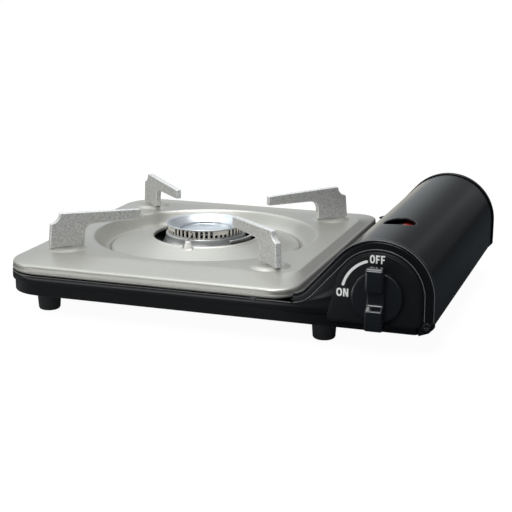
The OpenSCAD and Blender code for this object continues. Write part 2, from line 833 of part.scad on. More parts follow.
module electrode_bracket() {
    color("#a9acaf") placed() at_burner(electrode_angle) difference() {
        union() {
            translate([electrode_r - 1, -5, floor_z]) cube([12, 10, sheet]);
            translate([electrode_r + 5, -5, floor_z]) cube([sheet, 10, 11]);
            translate([electrode_r - 5, -5, floor_z + 10]) cube([11, 10, sheet]);
        }
        translate([electrode_r, 0, floor_z + 8]) cylinder(h = 6, r = 1.85);
        translate([electrode_r, 0, floor_z - 1]) cylinder(h = 4, r = 3);
    }
}
insulator_top = ring_z + 1.6;
module electrode_insulator() {
    low = floor_z + 6;
    seat = floor_z + 10 + sheet;
    color("#eeece6") placed() at_burner(electrode_angle) translate([electrode_r, 0, 0])
        rotate_extrude() polygon([
            [0.85, low], [1.8, low], [1.8, seat], [3.2, seat], [3.2, plate_z + 0.6], [2.7, plate_z + 1.6],
            [2.2, insulator_top - 0.6], [1.7, insulator_top], [0.85, insulator_top]
        ]);
}
module electrode_rod() {
    tip = port_ring_r + 2.4;
    rise = ring_top - 1.2 - insulator_top;
    lean = atan2(rise, electrode_r - tip);
    reach = norm([rise, electrode_r - tip]);
    low = floor_z + 3.5;
    color("#7f8388") placed() at_burner(electrode_angle) translate([electrode_r, 0, 0]) {
        translate([0, 0, low]) cylinder(h = insulator_top + 1.2 - low, r = 0.85);
        translate([0, 0, insulator_top + 0.6]) rotate([0, -90 + lean, 0]) cylinder(h = reach, r = 0.7);
    }
}

// Lead from the igniter along the pan's front corner to the electrode
electrode_at = [burner_x, burner_y] + electrode_r * [cos(electrode_angle), sin(electrode_angle)];
lead_r = 1;
lead_z = floor_z + lead_r + 0.65;
lead_points = [
    [arch_x - 8, cam_y0 + 2.2, floor_z + 3.4], [arch_x - 14, cam_y0 + 1.2, lead_z],
    [bay_wall_x - 8, cam_y0 + 1.2, lead_z], [bay_wall_x - 62, 14, lead_z],
    [electrode_at.x + 19, electrode_at.y - 36, lead_z], [electrode_at.x + 12, electrode_at.y - 5, lead_z],
    [electrode_at.x + 8, electrode_at.y, floor_z + 4.4],
    [electrode_at.x + 1.6, electrode_at.y, floor_z + 4.4]
];
// A round bar from a to b, run on past both ends by the length more
module bar(a, b, r, more) {
    d = b - a;
    translate(a) rotate([0, acos(d.z / norm(d)), atan2(d.y, d.x)]) translate([0, 0, -more])
        cylinder(h = norm(d) + 2 * more, r = r);
}
module ignition_lead() {
    last = len(lead_points) - 1;
    color("#7a2f2a") placed() {
        for (i = [0:2:last - 1]) bar(lead_points[i], lead_points[i + 1], lead_r, 0);
        for (i = [1:2:last - 1]) bar(lead_points[i], lead_points[i + 1], lead_r * 1.2, lead_r * 1.1);
    }
}

// -------------------------------------------------------------- heat panel

// Aluminium strip that takes heat from the flame to the cartridge: a hooked end
// beside the ports, a run under the plate and a cradle under the cartridge
pickup_r = skirt_r + 1.2;
panel_top = hole_z + 3;
run_z = rim_z - 2.4;
module ring_piece(r0, r1, a0, a1) {
    rotate([0, 0, a0]) rotate_extrude(angle = a1 - a0) translate([r0, 0]) square([r1 - r0, 1]);
}
module heat_panel() {
    run_x1 = arch_x - sqrt(pow(cradle_r + 0.4, 2) - pow(can_z - run_z, 2));
    color("#c6c8ca") placed() {
        at_burner() {
            translate([0, 0, run_z + 6]) rotate([0, 0, -40]) rotate_extrude(angle = 47)
                polygon([
                    [pickup_r, 0], [pickup_r + 1, 0], [pickup_r + 1, panel_top - run_z - 7.5],
                    [pickup_r + 2.6, panel_top - run_z - 6.6], [pickup_r + 2.2, panel_top - run_z - 6],
                    [pickup_r, panel_top - run_z - 6.4]
                ]);
            translate([0, 0, run_z]) rotate([0, 0, -13]) rotate_extrude(angle = 20)
                translate([pickup_r, 0]) square([1, 6.1]);
        }
        translate([burner_x + pickup_r, burner_y - 9, run_z]) cube([run_x1 - burner_x - pickup_r, 18, 1]);
        along_y(burner_y - cradle_len / 2, cradle_len) difference() {
            translate(can_c) circle(cradle_r + cradle_t);
            translate(can_c) circle(cradle_r);
            translate([0, run_z + 1]) square([body_w, body_w]);
            translate([arch_x + 18, 0]) square([body_w, body_w]);
        }
    }
}

// --------------------------------------------------------------- gas train

stop_left = 30;
stop_up = 24;
stop_foot_w = 32;
stop_foot_len = 12;
stop_cover_gap = 3;
module stop_plate() {
    color("#b2b5b8") placed() difference() {
        union() {
            along_y(stop_y, sheet) intersection() {
                translate(arch_c) circle(cover_r - sheet - stop_cover_gap);
                translate([arch_x - stop_left, floor_z])
                    square([pan_right - sheet - fit_gap - arch_x + stop_left, arch_z + stop_up - floor_z]);
            }
            translate([arch_x - stop_foot_w / 2, stop_y, floor_z])
                cube([stop_foot_w, stop_foot_len, sheet]);
        }
        rod_y(can_c, socket_flange_r + fit_gap, stop_y - 1, stop_y + 3);
        for (x = [-1, 1]) rod_y(governor_screw_at(x), 1.6, stop_y - 1, stop_y + 3);
    }
}

function governor_screw_at(side) = arch_c + [side * governor_screw_x, governor_screw_up];
module governor_body() {
    color("#a4a7aa") placed() difference() {
        union() {
            turned_y(arch_c) polygon([
                [0, governor_y0], [governor_r - 3, governor_y0], [governor_r, governor_y0 + 3],
                [governor_r, governor_y1 - 4], [governor_r + 3, governor_y1 - 3],
                [governor_r + 3, governor_y1], [0, governor_y1]
            ]);
            jet_line() translate([0, 0, 3]) cylinder(h = outlet_len, r = 5);
            jet_line() translate([0, 0, outlet_len - 5]) cylinder(h = 10, r = 6);
            jet_line() translate([0, 0, outlet_len]) rotate([0, -90, 0])
                cylinder(h = arch_z - tube_z, r = 5.5);
            translate([elbow.x - 1.8, elbow.y, arch_z - 6]) rotate([0, 90, 0])
                cylinder(h = governor_r, r = 5.2);
            translate([arch_x, (governor_y0 + governor_y1) / 2, arch_z]) rotate([0, 90, 0])
                cylinder(h = governor_r + 3, r = 9);
        }
        jet_line() translate([0, 0, 2]) cylinder(h = 6.1, r = 2.65);
        rod_y(can_c, 4.2, governor_y1 - 4, governor_y1 + 1);
        rod_y(arch_c, spindle_r + run_gap, governor_y0 - 1, governor_y1 - 10);
    }
}

module regulator_cap() {
    color("#c0c2c4") placed() translate([arch_x + governor_r + 3, (governor_y0 + governor_y1) / 2, arch_z])
        rotate([0, 90, 0]) rotate_extrude() polygon([
            [0, 0], [11.5, 0], [11.5, 3], [9.5, 4], [9, 8], [7, 9], [2, 9], [2, 8], [0, 8]
        ]);
}

// Seat for the cartridge's stem
module valve_socket() {
    color("#2b2b2d") placed() turned_y(can_c) polygon([
        [2.3, governor_y1 - 4], [4.1, governor_y1 - 4], [4.1, governor_y1],
        [socket_flange_r, governor_y1], [socket_flange_r, collar_y - 6],
        [socket_flange_r - 1.5, collar_y - 5], [4.5, collar_y - 5], [2.3, collar_y - 7]
    ]);
}

module magnet_ring() {
    color("#54575b") placed() turned_y(can_c) polygon([
        [magnet_bore, magnet_y0 - 0.2], [magnet_r, magnet_y0 - 0.2], [magnet_r, magnet_y1 - 0.6],
        [magnet_r - 0.6, magnet_y1], [magnet_bore, magnet_y1]
    ]);
}

module governor_screws() {
    color("#8d9094") placed() for (x = [-1, 1]) {
        rod_y(governor_screw_at(x), 1.55, governor_y1, stop_y + sheet);
    }
}

module igniter_case() {
    color("#e8e6df") placed() difference() {
        translate([arch_x - 7, cam_y0 - 0.2, floor_z]) cube([14, 6.2, igniter_top - floor_z]);
        translate([arch_x, cam_y0 + 2.9, floor_z + 3]) cylinder(h = 20, r = 2.2);
    }
}
module igniter_plunger() {
    color("#c8443a") placed() translate([arch_x, cam_y0 + 2.9, 0]) {
        translate([0, 0, floor_z + 3 + cam_lift + 0.4]) cylinder(
            h = arch_z - cam_r - cam_gap - 0.9 - (floor_z + 3 + cam_lift + 0.4), r = 2);
        translate([0, 0, arch_z - cam_r - cam_gap - 1]) cylinder(h = 1, r = 1);
    }
}

// Spindle with the cam that loads the igniter; the cam's rise is even with the turn
module valve_spindle() {
    cam = [for (i = [0:12]) let (t = i / 12, a = 270 - knob_turn * t)
        (cam_r + cam_lift * t) * [cos(a), sin(a)]];
    color("#c9a24d") placed() {
        rod_y(arch_c, spindle_r, -4.4, governor_y1 - 10.2);
        along_y(cam_y0, cam_t) translate(arch_c) {
            circle(cam_r);
            polygon(concat([[0, 0]], cam));
        }
    }
}

// ------------------------------------------------------------------- knob

module knob() {
    disc_y0 = -panel_t - 0.5 - fit_gap;
    disc_y1 = disc_y0 - 3.6;
    r = knob_d / 2;
    saddle_up = 5.7;
    saddle_low = 7.2;
    soft = 2.2;
    color("#1c1e21") placed() difference() {
        union() {
            turned_y(arch_c) polygon([
                [0, disc_y1], [r - 1.2, disc_y1], [r - 0.3, disc_y1 + 0.4], [r, disc_y1 + 1.2], [r, disc_y0],
                [0, disc_y0]
            ]);
            difference() {
                along_y(-knob_proud, knob_proud + disc_y1 + 0.1) grip_outline(soft);
                // finger saddle between the two ends of the grip
                translate([arch_x, -knob_proud - 4, arch_z - 0.75]) rotate([0, 90, 0])
                    linear_extrude(grip_w + 2, center = true) saddle_outline(saddle_up + saddle_low);
            }
        }
        rod_y(arch_c, spindle_r + 0.02, -4.4, 0);
    }
}
module grip_outline(soft) {
    w = grip_w / 2 - soft;
    h = grip_len / 2 - soft;
    hull() for (x = [-w, w]) for (z = [-h, h]) translate(arch_c + [x, z]) circle(soft);
}
module saddle_outline(w) {
    depth = 9;
    difference() {
        translate([-w / 2, 0]) square([w, depth]);
        translate([-w / 2, depth]) rotate(45) square(1.8, center = true);
        translate([w / 2, depth]) rotate(45) square(1.8, center = true);
    }
}

// --------------------------------------------------------------- cartridge

collar_r = 17;
collar_t = 1.6;
collar_bore = 5;
collar_notch = 5;
neck_r = 14.5;
neck_y = collar_y + collar_t;
module cartridge_can() {
    r = can_r;
    body = r - 0.5;
    y0 = can_y0;
    y1 = can_y1;
    w = can_wall;
    color("#e9e7e2") placed() turned_y(can_c) difference() {
        polygon([
            [0, neck_y], [neck_r, neck_y], [neck_r, neck_y + 1.4], [neck_r + 2, neck_y + 2.2],
            [r - 9.5, neck_y + 5], [r - 4, y0 - 2], [r - 2, y0 - 0.4], [r, y0], [r, y0 + 2.2],
            [body, y0 + 3],
            [body, y1 - 3], [r, y1 - 2.2], [r, y1], [r - 1.8, y1], [r - 2.6, y1 - 3.4], [r - 12, y1 - 5.6],
            [0, y1 - 6.4]
        ]);
        // the space for the gas
        polygon([
            [0, neck_y + w], [neck_r - 0.6, neck_y + w], [neck_r + 1.5, neck_y + 2.2 + w],
            [r - 9.5 - 0.3 * w, neck_y + 5 + w], [r - 4 - 0.5 * w, y0 - 2 + w], [body - w, y0 + 3],
            [body - w, y1 - 4.6 - w], [r - 12, y1 - 5.6 - w], [0, y1 - 6.4 - w]
        ]);
    }
}
module cartridge_collar() {
    color("#b9bbbd") placed() difference() {
        turned_y(can_c) polygon([
            [collar_bore, collar_y], [collar_r - 0.4, collar_y], [collar_r, collar_y + 0.4],
            [collar_r, neck_y], [collar_bore, neck_y]
        ]);
        translate([arch_x - collar_notch / 2, collar_y - 1, can_z + collar_r - collar_notch])
            cube([collar_notch, collar_t + 2, collar_notch + 1]);
    }
}
stem_r = 1.9;
module cartridge_valve() {
    color("#d8d6cf") placed() turned_y([arch_x, can_z]) polygon([
        [0, governor_y1 + 3], [stem_r - 0.4, governor_y1 + 3], [stem_r, governor_y1 + 3.5],
        [stem_r, collar_y - 2], [4.8, collar_y - 2], [4.8, neck_y], [0, neck_y]
    ]);
}

base_tray();
foot_front_left();
foot_front_right();
foot_rear_left();
foot_rear_right();
foot_screws();
front_frame();
rear_frame();
knob_panel();
bay_partition();
cover_catch();
cover();
hinge_pin_front();
hinge_pin_rear();
top_plate();
plate_buffers();
arm_front_left();
arm_front_right();
arm_rear_left();
arm_rear_right();
burner_bracket();
burner_body();
port_ring();
burner_cap();
inner_dish();
burner_screws();
mixing_tube();
gas_jet();
electrode_bracket();
electrode_insulator();
electrode_rod();
ignition_lead();
heat_panel();
stop_plate();
governor_body();
regulator_cap();
valve_socket();
magnet_ring();
governor_screws();
igniter_case();
igniter_plunger();
valve_spindle();
knob();
cartridge_can();
cartridge_collar();
cartridge_valve();
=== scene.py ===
# %% [markdown]
# The stove's finished look, built on the packed solid model. The solids carry
# the joints and the true sizes. Here each piece gets its finish, and the ones
# that the eye rests on are built again with finer edges, inside the same box.
# Lengths in the helpers are millimetres from the pan's left edge (x), its front
# wall (y) and the table (z), as the solid model's source has them; at() turns
# them into the row frame in metres.

# %% load the frame
import json
import math
import bmesh
import bpy
from mathutils import Matrix, Vector


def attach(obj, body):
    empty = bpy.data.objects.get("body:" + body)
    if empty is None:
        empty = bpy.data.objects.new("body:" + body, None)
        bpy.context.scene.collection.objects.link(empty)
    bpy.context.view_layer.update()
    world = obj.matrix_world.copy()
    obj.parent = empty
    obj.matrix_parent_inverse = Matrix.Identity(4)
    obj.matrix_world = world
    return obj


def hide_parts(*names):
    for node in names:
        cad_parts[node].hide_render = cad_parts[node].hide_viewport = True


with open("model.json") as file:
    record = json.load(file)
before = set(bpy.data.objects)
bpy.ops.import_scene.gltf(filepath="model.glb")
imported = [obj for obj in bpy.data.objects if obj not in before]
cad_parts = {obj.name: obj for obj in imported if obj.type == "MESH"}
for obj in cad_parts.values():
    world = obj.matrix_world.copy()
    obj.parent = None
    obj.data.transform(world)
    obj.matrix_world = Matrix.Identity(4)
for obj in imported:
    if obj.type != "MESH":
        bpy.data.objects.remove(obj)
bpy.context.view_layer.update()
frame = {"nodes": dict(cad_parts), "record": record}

MID_X, MID_Y = 172, 127.5  # the row frame's origin
BX, BY = 121.8, 135.0  # the burner's axis


def at(x, y, z):
    """A point in millimetres, as a vector in the row frame."""
    return Vector(((x - MID_X) / 1000, (y - MID_Y) / 1000, z / 1000))


print("burner's axis in the row frame", tuple(at(BX, BY, 0)))


# %% [markdown]
# Camera: a long lens a little above the table and to the right of the middle,
# turned towards the left, so that the top plate, the front wall and the gas
# bay's cover all show. It could be aimed with a Track To constraint. Here its
# three axes are worked out from yaw, pitch and roll and put into its matrix,
# because that also holds the small roll.

# %% camera
def camera_axes(yaw, pitch, roll):
    """The camera's right, up and ahead, from its angles in degrees."""
    yaw, pitch, roll = (math.radians(a) for a in (yaw, pitch, roll))
    flat = math.cos(pitch)
    ahead = Vector((math.sin(yaw) * flat, math.cos(yaw) * flat, math.sin(pitch)))
    right = Vector((math.cos(yaw), -math.sin(yaw), 0))
    up = right.cross(ahead)
    c, s = math.cos(roll), math.sin(roll)
    return right * c + up * s, up * c - right * s, ahead


focal_pixels, picture_pixels, sensor_mm = 1260.349, 512, 36
right, up, ahead = camera_axes(-18.9438, -14.4586, 0.17499)
camera = bpy.data.objects.new("camera", bpy.data.cameras.new("camera"))
bpy.context.scene.collection.objects.link(camera)
place = Matrix((right, up, -ahead)).transposed().to_4x4()
place.translation = Vector((0.326477, -0.958808, 0.292471))
camera.matrix_world = place
camera.data.sensor_width = sensor_mm
camera.data.lens = sensor_mm * focal_pixels / picture_pixels
bpy.context.scene.camera = camera
print("lens in millimetres", camera.data.lens)


# %% [markdown]
# Finishes are made of noises, masks and colours, and each of those is a shader
# node. They could be wired by hand in the node editor, but long chains are hard
# to read there. add() makes any node in one way: its type, then its settings,
# then a number, a colour or a link for each input that isn't left as it is.

# %% one node
def put(tree, socket, value):
    """Links a Sock to the socket, or sets its number or colour."""
    if isinstance(value, Sock):
        tree.links.new(value.out, socket)
    elif isinstance(value, (tuple, list)) and len(value) == 3 and len(socket.default_value) == 4:
        socket.default_value = (*value, 1)
    else:
        socket.default_value = value


def add(tree, kind, settings, inputs):
    """Makes a node and returns it."""
    n = tree.nodes.new("ShaderNode" + kind)
    for name, value in settings.items():
        setattr(n, name, value)
    for name, value in inputs.items():
        put(tree, n.inputs[name], value)
    return n


print("made", put.__name__, "and", add.__name__)


# %% [markdown]
# Most of a finish is sums: a speck is a noise above a level, a worn edge is an
# edge minus a noise. Sock wraps a node's output, so that +, -, * and / make
# Math nodes, with a number on either side, and a mask reads as the sum that it
# is. ramp() is the one curve that the finishes need; a Color Ramp could give it
# too, but a Map Range takes its two limits as plain numbers.

# %% sums on sockets
class Sock:
    """A shader socket that takes part in sums."""

    def __init__(self, tree, out):
        self.tree, self.out = tree, out

    def math(self, op, *values):
        n = add(self.tree, "Math", {"operation": op}, dict(enumerate(values)))
        return Sock(self.tree, n.outputs[0])

    def __add__(self, o):
        return self.math("ADD", self, o)

    def __radd__(self, o):
        return self.math("ADD", o, self)

    def __sub__(self, o):
        return self.math("SUBTRACT", self, o)

    def __rsub__(self, o):
        return self.math("SUBTRACT", o, self)

    def __mul__(self, o):
        return self.math("MULTIPLY", self, o)

    def __rmul__(self, o):
        return self.math("MULTIPLY", o, self)

    def __truediv__(self, o):
        return self.math("DIVIDE", self, o)

    def __rtruediv__(self, o):
        return self.math("DIVIDE", o, self)

    def __lt__(self, o):
        return self.math("LESS_THAN", self, o)

    def abs(self):
        return self.math("ABSOLUTE", self)

    def sqrt(self):
        return self.math("SQRT", self)

    def ramp(self, lo, hi):
        """0 below lo, 1 above hi, and soft between them."""
        limits = {0: self, 1: lo, 2: hi, 3: 0.0, 4: 1.0}
        n = add(self.tree, "MapRange", {"interpolation_type": "SMOOTHSTEP"}, limits)
        return Sock(self.tree, n.outputs[0])


print("sums with the number first", [name for name in vars(Sock) if name.startswith("__r")])


# %% [markdown]
# Nodes holds one tree and makes its nodes, with the outputs wrapped for sums.
# Colours don't go through Math nodes, which would turn them grey: mix() blends
# two, and tint() darkens one. Ready node groups would be shorter, but an export
# that bakes the surface follows plain nodes more surely.

# %% nodes of one tree
class Nodes:
    """Makes nodes in one tree."""

    def __init__(self, tree):
        self.tree = tree
        tree.nodes.clear()

    def node(self, kind, settings, inputs, output=0):
        return Sock(self.tree, add(self.tree, kind, settings, inputs).outputs[output])

    def axis(self, i, vector=None):
        return self.node("SeparateXYZ", {}, {0: vector or self.p}, i)

    def mix(self, factor, a, b):
        return self.node("Mix", {"data_type": "RGBA"}, {0: factor, 6: a, 7: b}, 2)

    def tint(self, colour, factor):
        """The colour, darkened or lightened by a factor."""
        grey = self.node("CombineXYZ", {}, {0: factor, 1: factor, 2: factor})
        times = {"data_type": "RGBA", "blend_type": "MULTIPLY"}
        return self.node("Mix", times, {0: 1.0, 6: colour, 7: grey}, 2)


print("helpers in a tree", [name for name in vars(Nodes) if not name.startswith("__")])


# %% [markdown]
# Finish is one material: a Principled shader whose sockets are set by name, and
# the noises that feed it. p is the point on the piece in millimetres. A picture
# would need the piece unwrapped first, while noise in space needs nothing and
# has the real grain's size on every piece.

# %% one material
class Finish(Nodes):
    """One material: a Principled shader and the nodes that feed it."""

    def __init__(self, name, **values):
        self.mat = bpy.data.materials.new(name)
        self.mat.use_nodes = True
        super().__init__(self.mat.node_tree)
        self.shader = add(self.tree, "BsdfPrincipled", {}, {})
        add(self.tree, "OutputMaterial", {}, {0: Sock(self.tree, self.shader.outputs[0])})
        self.p = self.node("VectorMath", {"operation": "SCALE"},
                           {0: self.node("TexCoord", {}, {}, "Object"), 3: 1000.0})
        self.set(**values)

    def set(self, **values):
        for name, value in values.items():
            put(self.tree, self.shader.inputs[name.replace("_", " ")], value)

    def noise(self, size, detail=2.0, rough=0.5, stretch=None):
        """Noise whose features are about size millimetres across."""
        v = self.p
        if stretch:
            v = self.node("VectorMath", {"operation": "MULTIPLY"}, {0: v, 1: stretch})
        return self.node("TexNoise", {},
                         {"Vector": v, "Scale": 1 / size, "Detail": detail, "Roughness": rough})

    def cells(self, size):
        """Cells of about size millimetres, each with its own three random numbers."""
        return self.node("TexVoronoi", {}, {"Vector": self.p, "Scale": 1 / size}, "Color")

    def value(self, name):
        """A number that the piece carries at its points, such as how near an edge is."""
        return self.node("Attribute", {"attribute_name": name}, {}, "Fac")

    def bump(self, height, depth):
        """Raises the surface by height (0 to 1) times depth, in millimetres."""
        self.set(Normal=self.node("Bump", {}, {"Height": height, "Distance": depth / 1000}))


print("helpers on a finish", [name for name in vars(Finish) if not name.startswith("__")])


# %% [markdown]
# Enamels. The pan, the cover and the end frames are pressed steel under
# near-black satin enamel with a faint orange peel and dust-fine specks. A plain
# black would look like plastic, so a slow noise shifts the colour, a fine one
# the roughness, and a third lifts the surface by a few microns. On the pan, a
# mask by height paints a highlight in lighter grey along the folded lip.

# %% black enamel
def enamel(name, base, rough, peel=0.008, shine=0.5, lip_highlight=None):
    """Satin enamel, with a highlight painted in lighter grey where the lip's mask is 1."""
    f = Finish(name, IOR=1.5, Specular_IOR_Level=shine)
    cloud = f.noise(38.0, 3.0)
    fine = f.noise(0.7, 2.0)
    colour = f.tint(base, 0.82 + cloud * 0.3 + fine * 0.08)
    if lip_highlight:
        # painted highlight: the lip's mask mixes a lighter grey into the colour
        colour = f.mix(lip_highlight(f), colour, (0.15, 0.15, 0.15))
    f.set(Base_Color=colour, Roughness=rough + (cloud - 0.5) * 0.04 + (fine - 0.5) * 0.06)
    f.bump(f.noise(2.6, 2.0) * 0.7 + fine * 0.3, peel)
    return f.mat


def painted_lip_highlight(f):
    """Mask for the painted highlight along the pan's folded lip, a little patchy, left of the gas bay."""
    z = f.axis(2)
    lip = z.ramp(33.2, 33.6) * (1.0 - z.ramp(34.0, 34.3))
    return lip * (f.axis(0) < 67.0) * (0.75 + (f.noise(5.0, 3.0) - 0.5) * 0.5)


black = {
    "pan_black": enamel("pan_black", (0.0045, 0.0048, 0.0058), 0.2, lip_highlight=painted_lip_highlight),
    "cover_black": enamel("cover_black", (0.0025, 0.0031, 0.004), 0.19, 0.003, 0.34),
    "frame_black": enamel("frame_black", (0.0035, 0.0043, 0.0055), 0.23),
    # the hems' grey is a painted highlight along the frames' edges
    "hem_painted_highlight": enamel("hem_painted_highlight", (0.16, 0.16, 0.165), 0.2),
    "partition_grey": enamel("partition_grey", (0.012, 0.013, 0.015), 0.42),
}
print("enamels", sorted(black))


# %% [markdown]
# Silver paints. The top plate's champagne-silver paint carries aluminium
# flakes: Voronoi cells give each flake its own brightness, and the brightest
# few their own gloss. A part-metallic shader under a thin coat makes the broad
# sheen, which a full metal would turn into a mirror. The gutter and the creases
# round the domes catch less light, so the plate carries a number there that
# paints shade into the colour, and a negative one paints a highlight on the
# domes' shoulders. The cast arms have a coarse grain and are lighter along edges.

# %% silver paint
def silver_plate():
    f = Finish("plate_silver")
    flake = f.axis(0, f.cells(0.32))
    dust = f.axis(1, f.cells(0.55))
    cloud = f.noise(60.0, 2.0)
    spark = flake.ramp(0.86, 1.0) * 0.16
    # the crease number paints shade into the colour, and a highlight where it is negative
    shade = 0.93 + (dust - 0.5) * 0.06 + (cloud - 0.5) * 0.05 + spark - f.value("crease_shade_and_highlight") * 0.95
    f.set(Base_Color=f.tint((0.56, 0.55, 0.508), shade), Metallic=0.66,
          Roughness=0.32 + dust * 0.06 - spark * 0.3, Coat_Weight=0.22, Coat_Roughness=0.16)
    f.bump(flake * 0.3 + f.noise(1.4, 2.0) * 0.5, 0.003)
    return f.mat


def silver_arm():
    f = Finish("arm_silver")
    grain = f.axis(0, f.cells(0.75))
    lumps = f.noise(1.2, 3.0, 0.6)
    # lighter along the edges, in patches, up to a pale grey
    lighter_edges = (f.value("edge") * 1.25 + (f.noise(2.2, 3.0) - 0.5) * 0.7).ramp(0.45, 0.9)
    base = f.tint((0.69, 0.685, 0.665), 0.7 + grain * 0.44 + (lumps - 0.5) * 0.36)
    f.set(Base_Color=f.mix(lighter_edges, base, (0.86, 0.86, 0.85)), Metallic=0.35,
          Roughness=0.5 - grain * 0.12 - lighter_edges * 0.12)
    f.bump(lumps * 0.7 + grain * 0.3, 0.09)
    return f.mat


silver = {"plate_silver": silver_plate(), "arm_silver": silver_arm()}
print("silver paints", sorted(silver))


# %% [markdown]
# Burner metals: the burner is turned and polished aluminium with fine rings
# about its axis. Their glint could come from an anisotropic shader, but a bake
# loses it. Rings in the colour and the roughness stay. The chamber inside the
# ports is dull, with its shade painted in near black, and a mask by distance
# from the axis keeps that off the rest.

# %% burner metals
def from_burner(f):
    """Distance from the burner's axis."""
    x = f.axis(0) - (BX - MID_X)
    y = f.axis(1) - (BY - MID_Y)
    return (x * x + y * y).sqrt()


def turned_metal(name, base, rough, ring, depth):
    f = Finish(name)
    rings = f.node("TexNoise", {"noise_dimensions": "1D"},
                   {"W": from_burner(f), "Scale": 1 / ring, "Detail": 3.0})
    spots = f.noise(9.0, 3.0)
    f.set(Base_Color=f.tint(base, 0.95 + (rings - 0.5) * 0.1 + (spots - 0.5) * 0.05), Metallic=0.82,
          Roughness=rough + (rings - 0.5) * 0.06 + (spots - 0.5) * 0.04)
    f.bump(rings, depth)
    return f.mat


def alu_with_painted_shade(name, base, rough):
    """Cast or machined aluminium, dull and with painted shade in near black in the chamber inside the ports.
    """
    f = Finish(name)
    inside = 1.0 - from_burner(f).ramp(30.2, 31.4)
    cloud = f.noise(5.0, 3.0)
    fine = f.noise(0.5, 2.0)
    light = f.tint(base, 0.86 + cloud * 0.2 + (fine - 0.5) * 0.16)
    # painted shade: the chamber inside the ports is mixed to near black
    f.set(Base_Color=f.mix(inside, light, (0.02, 0.019, 0.018)), Metallic=0.9 - inside * 0.7,
          Roughness=rough + (cloud - 0.5) * 0.14 + inside * 0.3)
    f.bump(fine * 0.6 + cloud * 0.4, 0.03)
    return f.mat


metal = {
    "burner_alu": turned_metal("burner_alu", (0.77, 0.81, 0.85), 0.3, 0.8, 0.0001),
    "port_alu": alu_with_painted_shade("port_alu", (0.66, 0.64, 0.6), 0.34),
    "cast_alu": alu_with_painted_shade("cast_alu", (0.66, 0.67, 0.68), 0.33),
}
print("burner metals", sorted(metal))


# %% [markdown]
# Other metals: the sheet-metal brackets show their rolling direction, screws
# are plated steel, and the nozzle and the spindle are turned brass. All are
# full metals that differ in colour and gloss. Fine lines come from a noise that
# is stretched along one axis, which holds from any side and needs no picture.

# %% sheet, plated and cast metals
def plain_metal(name, base, rough, stretch=(1, 12, 1), size=0.6, depth=0.01):
    """Rolled or plated metal: fine lines where the noise is stretched, grain where it isn't."""
    f = Finish(name)
    lines = f.noise(size, 3.0, stretch=stretch)
    spots = f.noise(7.0, 3.0)
    f.set(Base_Color=f.tint(base, 0.86 + (lines - 0.5) * 0.3 + (spots - 0.5) * 0.2), Metallic=1.0,
          Roughness=rough + (lines - 0.5) * 0.2 + (spots - 0.5) * 0.15)
    f.bump(lines, depth)
    return f.mat


EVEN = (1, 1, 1)
metal |= {
    "tube_steel": plain_metal("tube_steel", (0.62, 0.63, 0.64), 0.25),
    "sheet_steel": plain_metal("sheet_steel", (0.56, 0.57, 0.58), 0.32),
    "heat_alu": plain_metal("heat_alu", (0.86, 0.86, 0.86), 0.42),
    "zinc_cast": plain_metal("zinc_cast", (0.5, 0.51, 0.53), 0.45, EVEN, 0.9, 0.05),
    "brass": plain_metal("brass", (0.72, 0.53, 0.24), 0.22),
    "screw_steel": plain_metal("screw_steel", (0.11, 0.11, 0.115), 0.34, EVEN, 0.5),
    "rod_steel": plain_metal("rod_steel", (0.72, 0.7, 0.66), 0.36, EVEN, 0.5),
    "can_steel": plain_metal("can_steel", (0.6, 0.61, 0.62), 0.22),
    "magnet": plain_metal("magnet", (0.12, 0.12, 0.125), 0.5, EVEN, 0.4, 0.04),
}
print("metals", sorted(metal))


# %% [markdown]
# Plastics, rubber, ceramic and the cartridge's print. The knob is glossy
# moulded plastic, its panel has a fine grain, and the feet are dull rubber. One
# function makes all but the bands, because they differ only in colour, gloss
# and grain. The cartridge's bands could be a picture wrapped round it. Masks by
# place need no picture and stay sharp however near the camera comes.

# %% plastics and print
def plastic(name, base, rough, grain=0.5, depth=0.02, coat=0.0, spread=0.1):
    f = Finish(name, IOR=1.48)
    fine = f.noise(grain, 2.0)
    cloud = f.noise(12.0, 3.0)
    f.set(Base_Color=f.tint(base, 1 - spread / 2 + fine * spread + (cloud - 0.5) * 0.12),
          Roughness=rough + (fine - 0.5) * 0.12 + (cloud - 0.5) * 0.08, Coat_Weight=coat, Coat_Roughness=0.08)
    f.bump(fine, depth)
    return f.mat


def printed_can(red_from=78.5, red_to=180.0, shade_left_of=303.0):
    """Plain bands of print round the cartridge, white and red, with painted shade in near black left of a
    line across it.
    """
    f = Finish("can_paint", Coat_Weight=0.4, Coat_Roughness=0.1)
    y = f.axis(1) + f.noise(9.0, 2.0) * 0.12
    x = f.axis(0)
    red = (y - (red_from - MID_Y)).ramp(-0.1, 0.1) * (1.0 - (y - (red_to - MID_Y)).ramp(-0.1, 0.1))
    # painted shade: the can is near black left of this line, where it lies in the cover's shade
    painted_shade = 1.0 - (x - (shade_left_of - MID_X)).ramp(-0.15, 0.15)
    paint = f.mix(red, (0.82, 0.82, 0.80), (0.62, 0.035, 0.03))
    f.set(Base_Color=f.mix(painted_shade, paint, (0.03, 0.032, 0.036)), Roughness=0.26 + f.noise(3.0) * 0.08)
    f.bump(f.noise(14.0, 2.0), 0.05)
    return f.mat


